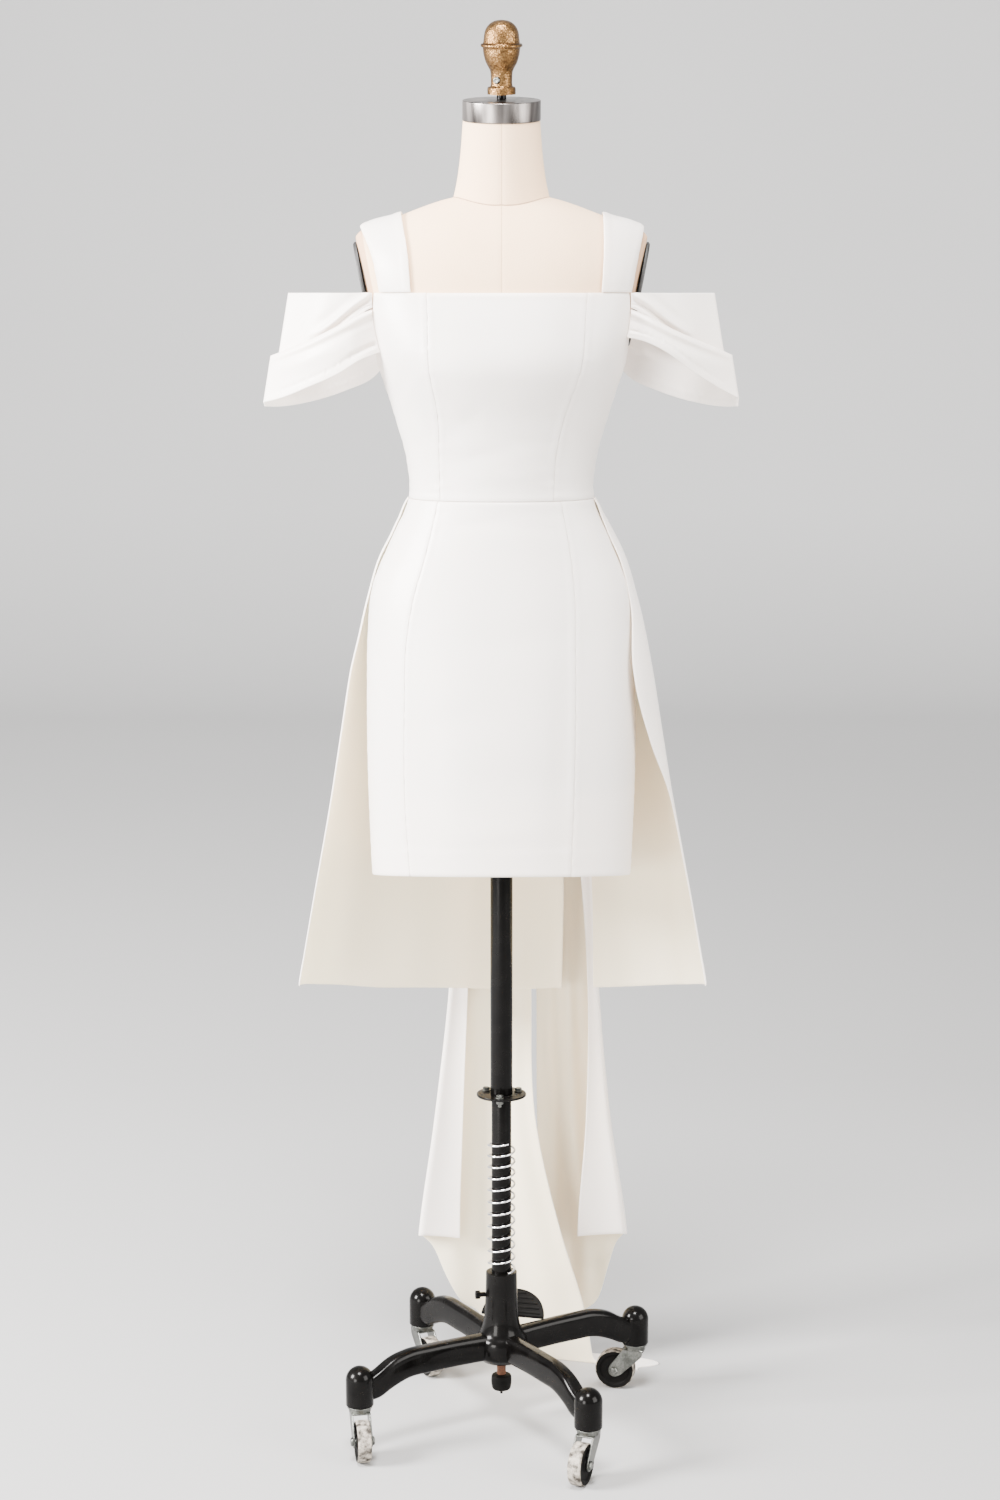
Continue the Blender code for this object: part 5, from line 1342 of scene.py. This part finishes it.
def make_head():
    """Neck cap, stem, knob and clamping screw: profiles turned about the axis of the neck."""
    top = placed(NECK_TOP, (NECK_LEAN, 0.0, 0.0))
    cap_top = SEAM + CAP_HEIGHT
    cap = round_profile([(0.0, cap_top), (CAP_RADIUS, cap_top), (CAP_RADIUS, SEAM), (0.0, SEAM)],
                        0.0014, 5)
    solid("neck_cap", [moved(turn_profile(cap, 144), top)], [material("steel")], replace=["neck_cap"])
    low = 2 * SEAM + CAP_HEIGHT
    stem = [(0.0, low + 0.0065), (0.006, low + 0.0065), (0.006, low), (0.0, low)]
    solid("stem", [moved(turn_profile(round_profile(stem, 0.0005), 48), top)], [material("enamel")],
          replace=["stem"])
    knob_low = low + 0.0065 + SEAM
    profile = smooth_profile(KNOB_PROFILE, 110)
    profile[:, 1] += knob_low
    profile[:, 0] = np.maximum(profile[:, 0], 0.0)
    solid("knob", [moved(turn_profile(profile, 96), top)], [material("brass")], replace=["knob"],
          sharp=60)
    turn = math.radians(-115.0)
    at = ((0.0135 + SEAM) * math.cos(turn), (0.0135 + SEAM) * math.sin(turn), knob_low + 0.0175)
    head = round_profile([(0.0, 0.0024), (0.0015, 0.0024), (0.0016, 0.0032), (0.0034, 0.0032), (0.0045, 0.0018),
                          (0.0045, 0.0), (0.0, 0.0)], 0.0003)
    solid("knob_screw", [moved(turn_profile(head, 32), top @ placed(at, (0.0, math.pi / 2, turn)))],
          [material("zinc")], replace=["knob_screw"])


# Stand


def hexagon(profile):
    """Profile turned in six flats."""
    return turn_profile(profile, 6)


def make_pole():
    """Two tubes, the collar disc with its bolts, and the coil spring, whose two top turns lie closer."""
    low = COLLAR_Z + COLLAR_THICK + SEAM
    upper = round_profile([(0.0, 0.93), (UPPER_POLE_RADIUS, 0.93), (UPPER_POLE_RADIUS, low), (0.0, low)], 0.0008)
    solid("pole_upper", [turn_profile(upper, 72)], [material("enamel")], replace=["pole_upper"])
    lower = round_profile([(0.0, COLLAR_Z - SEAM), (LOWER_POLE_RADIUS, COLLAR_Z - SEAM), (LOWER_POLE_RADIUS, 0.13),
                           (0.0, 0.13)], 0.0008)
    solid("pole_lower", [turn_profile(lower, 72)], [material("enamel")], replace=["pole_lower"])
    disc = round_profile([(0.0, COLLAR_Z + COLLAR_THICK), (COLLAR_RADIUS, COLLAR_Z + COLLAR_THICK),
                          (COLLAR_RADIUS, COLLAR_Z), (0.0, COLLAR_Z)], 0.0007)
    solid("collar", [turn_profile(disc, 96)], [material("enamel")], replace=["collar"])
    for i, angle in enumerate(BOLT_ANGLES, start=1):
        head = round_profile([(0.0, low + 0.004), (0.0045, low + 0.004), (0.0045, low), (0.0, low)], 0.0005)
        nut = round_profile([(0.0, COLLAR_Z - SEAM), (0.0045, COLLAR_Z - SEAM), (0.0045, COLLAR_Z - 0.0048),
                             (0.0022, COLLAR_Z - 0.0048), (0.0022, COLLAR_Z - 0.009), (0.0, COLLAR_Z - 0.009)], 0.0004)
        washer = round_profile([(0.0, low + 0.0006), (0.0058, low + 0.0006), (0.0058, low), (0.0, low)], 0.0002)
        at = placed(polar(BOLT_CIRCLE, angle))
        parts = [moved(hexagon(head), at), moved(hexagon(nut), at), moved(turn_profile(washer, 32), at)]
        solid("collar_bolt_" + str(i), parts, [material("zinc")], replace=["collar_bolt_" + str(i)])
    share = np.linspace(0.0, 1.0, SPRING_TURNS * 48)
    angle = math.radians(-60.0) + math.tau * SPRING_TURNS * share
    rise = np.minimum(share + 0.035 * np.sin(math.pi * share) * share, 1.0)
    z = HUB_TOP_Z + SPRING_WIRE + SEAM + (SPRING_TOP_Z - 2 * SPRING_WIRE - HUB_TOP_Z - SEAM) * rise
    path = np.stack([SPRING_RADIUS * np.cos(angle), SPRING_RADIUS * np.sin(angle), z], -1)
    solid("height_spring", [tube(path, SPRING_WIRE)], [material("chrome")], replace=["height_spring"],
          sharp=70)


HUB_PROFILE = (
    (0.0138, 0.2062), (0.0200, 0.2070), (0.0206, 0.2050), (0.0212, 0.1750), (0.0230, 0.1450),
    (0.0275, 0.1260), (0.0340, 0.1150), (0.0345, 0.0960), (0.0270, 0.0860), (0.0000, 0.0860),
)


def make_foot():
    """Cast foot: a turned hub, four arms lofted through rounded sections along a hump, and domed sockets."""
    hub = smooth_profile(HUB_PROFILE[1:-1], 60)
    hub = np.vstack([[0.0, 0.2070], [0.0188, 0.2072], hub, [0.0, 0.0860]])
    parts = [turn_profile(hub, 96)]
    reach = np.linspace(0.010, 0.207, 60)
    keys = ("middle_z", "half_height", "half_width")
    middle, high, wide = (curve(ARM, key, reach, "reach")[:, None] for key in keys)
    turns = (np.arange(40) * math.tau / 40)[None, :]
    across = wide * power_cos(turns, 3.4)
    up = middle + high * power_sin(turns, 3.4)
    arm = np.stack([np.broadcast_to(reach[:, None], up.shape), across, up], -1)
    ends = np.stack([arm[:1].mean(1, keepdims=True) + 0 * arm[:1], arm[-1:].mean(1, keepdims=True) + 0 * arm[-1:]])
    arm = np.concatenate([ends[0], arm, ends[1]])
    for angle in ARM_ANGLES:
        parts.append(moved((arm, grid_faces(len(arm), 40, True)), placed((0, 0, 0), (0, 0, math.radians(angle)))))
        a = np.radians(np.linspace(90.0, 0.0, 16))
        profile = np.stack([SOCKET_RADIUS * np.cos(a), SOCKET_DOME_Z + SOCKET_RADIUS * np.sin(a)], -1)
        profile[0, 0] = 0.0
        skirt = round_profile([(SOCKET_RADIUS, SOCKET_DOME_Z - 0.002), (SOCKET_RADIUS, SOCKET_BOTTOM_Z),
                               (0.0, SOCKET_BOTTOM_Z)], 0.0012)
        parts.append(moved(turn_profile(np.vstack([profile, skirt]), 72), placed(polar(SOCKET_CIRCLE, angle))))
    turn = placed((0, 0, 0), (0, 0, math.radians(PEDAL_ANGLE)))
    for side in (-1, 1):
        low, up_ = sorted((side * 0.0066, side * 0.0111))
        ear = prism(box_outline(0.012, PEDAL_PIVOT_RADIUS + 0.006, 0.0945, 0.1100, 0.005, 5), low, up_)
        parts.append(moved(ear, turn))
    solid("base", parts, [material("enamel")], replace=["base"], sharp=50)
    at = placed(polar(0.0212 + SEAM, 190.0, LOCK_SCREW_Z), (0.0, math.pi / 2, math.radians(190.0)))
    shank = round_profile([(0.0, 0.0135), (0.0055, 0.0135), (0.0055, 0.0075), (0.0032, 0.0075), (0.0032, 0.0),
                           (0.0, 0.0)], 0.0006)
    head = turn_profile(shank, 64, lambda t: 1 + 0.06 * np.cos(8 * t))
    solid("lock_screw", [moved(head, at)], [material("enamel")], replace=["lock_screw"])
    rod = round_profile([(0.0, 0.0857), (0.006, 0.0857), (0.006, 0.0645), (0.0, 0.0645)], 0.0006)
    solid("release_rod", [turn_profile(rod, 40)], [material("rust")], replace=["release_rod"])
    foot = smooth_profile([(0.0090, 0.0642), (0.0125, 0.0632), (0.0135, 0.0590), (0.0133, 0.0510), (0.0110, 0.0440),
                           (0.0022, 0.0428), (0.0018, 0.0372)], 50)
    foot = np.vstack([[0.0, 0.0642], foot, [0.0, 0.0370]])
    solid("stopper", [turn_profile(foot, 56)], [material("rubber")], replace=["stopper"])


def make_pedal():
    """Half-moon pad on a lever, its ribs across it, all in the tilted axes of the hinge."""
    pivot = polar(PEDAL_PIVOT_RADIUS, PEDAL_ANGLE, PEDAL_PIVOT_Z)
    matrix = placed(pivot, (0.0, -PEDAL_RISE, math.radians(PEDAL_ANGLE)))
    flat = matrix @ Euler((math.pi / 2, 0, 0)).to_matrix().to_4x4()
    turns = np.radians(np.linspace(90.0, -90.0, 60))
    depth = PEDAL_REACH - PEDAL_FLAT
    rim = np.stack([PEDAL_FLAT + depth * np.cos(turns), PEDAL_HALF_WIDTH * np.sin(turns)], -1)
    parts = [moved(prism(rim, 0.002, 0.008, 0.001), flat)]
    for i in range(5):
        x = PEDAL_FLAT + 0.005 + 0.0075 * i
        half = PEDAL_HALF_WIDTH * math.sqrt(1 - ((x + 0.0035 - PEDAL_FLAT) / depth) ** 2) - 0.004
        rib = prism(box_outline(x - 0.0015, x + 0.0015, -half, half, 0.0012), 0.006, 0.0095, 0.0006)
        parts.append(moved(rib, flat))
    lever = prism(box_outline(0.0, 0.040, -0.004, 0.004, 0.002), -0.006, 0.006)
    barrel = round_profile([(0.0, 0.0063), (0.0055, 0.0063), (0.0055, -0.0063), (0.0, -0.0063)], 0.0006)
    parts += [moved(lever, matrix), moved(turn_profile(barrel, 40), flat)]
    solid("pedal", parts, [material("rubber")], "pedal", ["pedal"])


def make_casters():
    """Each caster: turned crown, bridge and plate cheeks about the swivel axis, a riveted axle and a wheel."""
    for corner, angle, heading in zip(CORNERS, ARM_ANGLES, HEADINGS):
        swivel = placed(polar(SOCKET_CIRCLE, angle), (0.0, 0.0, math.radians(heading)))
        top = SOCKET_BOTTOM_Z - SEAM
        crown = round_profile([(0.0, top), (0.0165, top), (0.0165, top - 0.0025), (0.0145, top - 0.003),
                               (0.0145, FORK_CROWN_Z + 0.001), (0.0, FORK_CROWN_Z + 0.001)], 0.0006)
        outer = FORK_INSIDE + FORK_PLATE
        bridge = prism(box_outline(-0.0125, 0.0150, FORK_CROWN_Z, FORK_CROWN_Z + FORK_PLATE, 0.0008), -outer, outer)
        parts = [turn_profile(crown, 64), bridge]
        outline = rounded([(-0.0120, FORK_CROWN_Z + FORK_PLATE), (-0.0115, 0.0500), (0.0185, 0.0215),
                           (0.0270, 0.0180), (0.0345, 0.0225), (0.0345, 0.0320), (0.0145, FORK_CROWN_Z + FORK_PLATE)],
                          0.004, 5)
        for side in (-1, 1):
            low, high = sorted((side * FORK_INSIDE, side * outer))
            parts.append(prism(outline, low, high, 0.0004))
        solid("fork_" + corner, [moved(p, swivel) for p in parts], [material("zinc")], "swivel_" + corner,
              ["fork_" + corner])
        hub = swivel @ placed((TRAIL, 0.0, AXLE_Z), (math.pi / 2, 0.0, 0.0))
        end = outer + SEAM
        ends = []
        for sign in (-1, 1):
            nut = np.array(round_profile([(0.0, end + 0.0028), (0.0045, end + 0.0028), (0.0058, end + 0.0015),
                                          (0.0058, end), (0.0, end)], 0.0004))
            nut[:, 1] *= sign
            ends.append(turn_profile(nut, 6 if sign < 0 else 32))
        shaft = [(0.0, end + 0.001), (0.0031, end + 0.001), (0.0031, -end - 0.001), (0.0, -end - 0.001)]
        ends.append(turn_profile(shaft, 24))
        solid("axle_" + corner, [moved(p, hub) for p in ends], [material("zinc")], "swivel_" + corner,
              ["axle_" + corner])
        wide = 0.0090
        face = [(0.0036, wide), (0.0085, wide), (0.0100, wide - 0.0018), (0.0190, wide - 0.0022),
                (0.0212, wide), (AXLE_Z - 0.0016, wide - 0.0002)]
        tread = [(AXLE_Z - 0.0016, wide - 0.0002), (AXLE_Z - 0.0003, wide - 0.0016), (AXLE_Z - 0.0001, 0.0),
                 (AXLE_Z - 0.0003, 0.0016 - wide), (AXLE_Z - 0.0016, 0.0002 - wide)]
        back = [(r, -h) for r, h in face[::-1]]
        bore = [(0.0036, -wide), (0.0036, wide)]
        sides = material("rubber")
        parts = [(*turn_profile(round_profile(face, 0.0006), 96), 0),
                 (*turn_profile(round_profile(tread, 0.0012), 96), 1),
                 (*turn_profile(round_profile(back, 0.0006), 96), 0), (*turn_profile(bore, 96), 0)]
        solid("wheel_" + corner, [moved(p, hub) for p in parts], [sides, material("tread")], "roller_" + corner,
              ["wheel_" + corner])


# Stage


def make_stage():
    """Pale floor that curves up into a backdrop, four soft lights and the camera of the photograph."""
    scene = bpy.context.scene
    s = Shader("pale_floor", (0.47, 0.47, 0.47), 0.7, Specular_IOR_Level=0.25)
    tone = s.group(shared("mottle", mottle_group), Vector=s.coords(), Scale=0.8, Contrast=0.5)
    # Painted light: the grey is lighter on the left where the key falls, darker on the right, and paler far back and
    # up the curve of the backdrop.
    split = s.node("ShaderNodeSeparateXYZ")
    s.link(s.coords(), split.inputs[0])
    far = mathed(s.tree, "MULTIPLY_ADD", split.outputs[1], 0.12)
    far.node.inputs[2].default_value = -0.20
    far.node.use_clamp = True
    rise = mathed(s.tree, "ADD", mathed(s.tree, "MULTIPLY", split.outputs[2], 0.4), far, True)
    side = mathed(s.tree, "MULTIPLY_ADD", split.outputs[0], 0.35)
    side.node.inputs[2].default_value = 0.5
    side.node.use_clamp = True
    # Painted light of the key: lighter grey on the left, darker on the right.
    low = mixed(s.tree, side, (0.37, 0.37, 0.37), (0.27, 0.27, 0.27))
    painted_light_grey = mixed(s.tree, rise, low, (0.74, 0.74, 0.74))
    s.feed(mixed(s.tree, mathed(s.tree, "MULTIPLY", tone.outputs["Mask"], 0.3), painted_light_grey, (0.36, 0.36, 0.36)),
           "Base Color")
    x = np.linspace(-11.0, 11.0, 3)
    turn = np.radians(np.linspace(0.0, 90.0, 16))
    y = np.concatenate([[-9.0], 6.3 + 2.5 * np.sin(turn), [8.8]])
    z = np.concatenate([[0.0], 2.5 - 2.5 * np.cos(turn), [9.0]])
    points = np.stack(np.broadcast_arrays(x[None, :], y[:, None], z[:, None]), -1)
    floor = mesh_object("studio_floor", points, grid_faces(len(y), 3), [s.material])
    for name, at, aim, size, power, colour in (
        ("key", (-3.8, -1.3, 2.3), (0.0, 0.0, 0.9), 1.5, 1250.0, (1.0, 0.975, 0.955)),
        ("fill", (3.2, -2.0, 1.8), (0.0, 0.0, 0.8), 2.4, 260.0, (1.0, 0.97, 0.93)),
        ("front", (-0.3, -1.9, 5.0), (0.0, 0.0, 1.3), 1.4, 780.0, (1.0, 0.975, 0.965)),
        ("low", (-2.4, -3.4, 0.8), (0.0, 0.2, 0.5), 1.4, 190.0, (1.0, 0.97, 0.93)),
    ):
        light = bpy.data.lights.new(name, "AREA")
        light.size = size
        light.energy = power
        light.color = colour
        obj = bpy.data.objects.new(name, light)
        obj.location = at
        obj.rotation_euler = (Vector(aim) - Vector(at)).to_track_quat("-Z", "Y").to_euler()
        scene.collection.objects.link(obj)
    sky = bpy.data.worlds.new("studio")
    sky.use_nodes = True
    sky.node_tree.nodes["Background"].inputs["Color"].default_value = (0.86, 0.86, 0.86, 1.0)
    sky.node_tree.nodes["Background"].inputs["Strength"].default_value = 0.95
    scene.world = sky
    camera = bpy.data.cameras.new("camera")
    camera.lens = scene.dress_settings.camera_lens
    camera.sensor_width = 36.0
    camera.clip_end = 50.0
    view = bpy.data.objects.new("camera", camera)
    view.location = (-0.0019, POLE_Y - 3.591, 1.487)
    view.rotation_euler = (math.radians(90.0 - 9.18), 0.0, 0.0)
    scene.collection.objects.link(view)
    scene.camera = view


# Add-on


class DressSettings(bpy.types.PropertyGroup):
    cloth_wall: bpy.props.FloatProperty(
        name="Cloth thickness", description="Thickness of a layer of the dress", default=0.0016,
        min=0.001, max=0.003, precision=4, unit="LENGTH")
    fold_strength: bpy.props.FloatProperty(
        name="Fold strength", description="How deep the soft creases of the cloth are", default=1.0,
        min=0.0, max=2.0, subtype="FACTOR")
    cloth_colour: bpy.props.FloatVectorProperty(
        name="Cloth", description="Right side of the dress", default=(0.965, 0.865, 0.785), subtype="COLOR",
        min=0.0, max=1.0)
    # Reverse colour: the wrong side of the cloth, with painted warm shade of the insides and recesses.
    reverse_shade_colour: bpy.props.FloatVectorProperty(
        name="Reverse", description="Wrong side of the dress", default=(0.965, 0.80, 0.56), subtype="COLOR",
        min=0.0, max=1.0)
    form_colour: bpy.props.FloatVectorProperty(
        name="Form", description="Linen of the dress form", default=(0.85, 0.62, 0.41), subtype="COLOR",
        min=0.0, max=1.0)
    camera_lens: bpy.props.FloatProperty(
        name="Camera lens", description="Focal length of the camera", default=67.9, min=20.0, max=200.0,
        unit="CAMERA")


class DRESS_OT_stage(bpy.types.Operator):
    """Add the floor, the lights and the camera"""
    bl_idname = "dress.stage"
    bl_label = "Stage"

    def execute(self, context):
        make_stage()
        return {"FINISHED"}


class DRESS_OT_form(bpy.types.Operator):
    """Add the linen form with its armhole plates"""
    bl_idname = "dress.form"
    bl_label = "Form"

    def execute(self, context):
        make_form()
        return {"FINISHED"}


class DRESS_OT_head(bpy.types.Operator):
    """Add the neck cap, the stem and the knob"""
    bl_idname = "dress.head"
    bl_label = "Cap and knob"

    def execute(self, context):
        make_head()
        return {"FINISHED"}


class DRESS_OT_bodice(bpy.types.Operator):
    """Add the five panels of the bodice"""
    bl_idname = "dress.bodice"
    bl_label = "Bodice"

    def execute(self, context):
        make_bodice()
        return {"FINISHED"}


class DRESS_OT_straps(bpy.types.Operator):
    """Add the two shoulder straps"""
    bl_idname = "dress.straps"
    bl_label = "Straps"

    def execute(self, context):
        make_straps()
        return {"FINISHED"}


class DRESS_OT_skirt(bpy.types.Operator):
    """Add the five panels of the mini skirt"""
    bl_idname = "dress.skirt"
    bl_label = "Mini skirt"

    def execute(self, context):
        make_skirt()
        return {"FINISHED"}


class DRESS_OT_overskirt(bpy.types.Operator):
    """Add the two halves of the overskirt"""
    bl_idname = "dress.overskirt"
    bl_label = "Overskirt"

    def execute(self, context):
        make_overskirt()
        return {"FINISHED"}


class DRESS_OT_tails(bpy.types.Operator):
    """Add the two tails"""
    bl_idname = "dress.tails"
    bl_label = "Tails"

    def execute(self, context):
        make_tails()
        return {"FINISHED"}


class DRESS_OT_drapes(bpy.types.Operator):
    """Add the off-shoulder drapes"""
    bl_idname = "dress.drapes"
    bl_label = "Drapes"

    def execute(self, context):
        make_sleeves()
        return {"FINISHED"}


class DRESS_OT_pole(bpy.types.Operator):
    """Add the pole, its collar and its spring"""
    bl_idname = "dress.pole"
    bl_label = "Pole"

    def execute(self, context):
        make_pole()
        return {"FINISHED"}


class DRESS_OT_foot(bpy.types.Operator):
    """Add the cast foot with its pedal"""
    bl_idname = "dress.foot"
    bl_label = "Foot"

    def execute(self, context):
        make_foot()
        make_pedal()
        return {"FINISHED"}


class DRESS_OT_casters(bpy.types.Operator):
    """Add the four casters"""
    bl_idname = "dress.casters"
    bl_label = "Casters"

    def execute(self, context):
        make_casters()
        return {"FINISHED"}


OPERATORS = (
    DRESS_OT_stage, DRESS_OT_form, DRESS_OT_head, DRESS_OT_bodice, DRESS_OT_straps, DRESS_OT_skirt,
    DRESS_OT_overskirt, DRESS_OT_tails, DRESS_OT_drapes, DRESS_OT_pole, DRESS_OT_foot, DRESS_OT_casters,
)


class DRESS_PT_panel(bpy.types.Panel):
    """Sizes and colours of the dress, and its pieces"""
    bl_label = "Dress"
    bl_space_type = "VIEW_3D"
    bl_region_type = "UI"
    bl_category = "Dress"

    def draw(self, context):
        settings = context.scene.dress_settings
        for name in ("cloth_wall", "fold_strength", "cloth_colour", "reverse_shade_colour", "form_colour", "camera_lens"):
            self.layout.prop(settings, name)
        for operator in OPERATORS:
            self.layout.operator(operator.bl_idname)


def register():
    for cls in (DressSettings, *OPERATORS, DRESS_PT_panel):
        bpy.utils.register_class(cls)
    bpy.types.Scene.dress_settings = bpy.props.PointerProperty(type=DressSettings)


def unregister():
    del bpy.types.Scene.dress_settings
    for cls in (DRESS_PT_panel, *reversed(OPERATORS), DressSettings):
        bpy.utils.unregister_class(cls)


def main():
    register()
    bpy.ops.dress.stage()
    bpy.ops.dress.form()
    bpy.ops.dress.head()
    bpy.ops.dress.bodice()
    bpy.ops.dress.straps()
    bpy.ops.dress.skirt()
    bpy.ops.dress.overskirt()
    bpy.ops.dress.tails()
    bpy.ops.dress.drapes()
    bpy.ops.dress.pole()
    bpy.ops.dress.foot()
    bpy.ops.dress.casters()


if __name__ == "__main__":
    main()
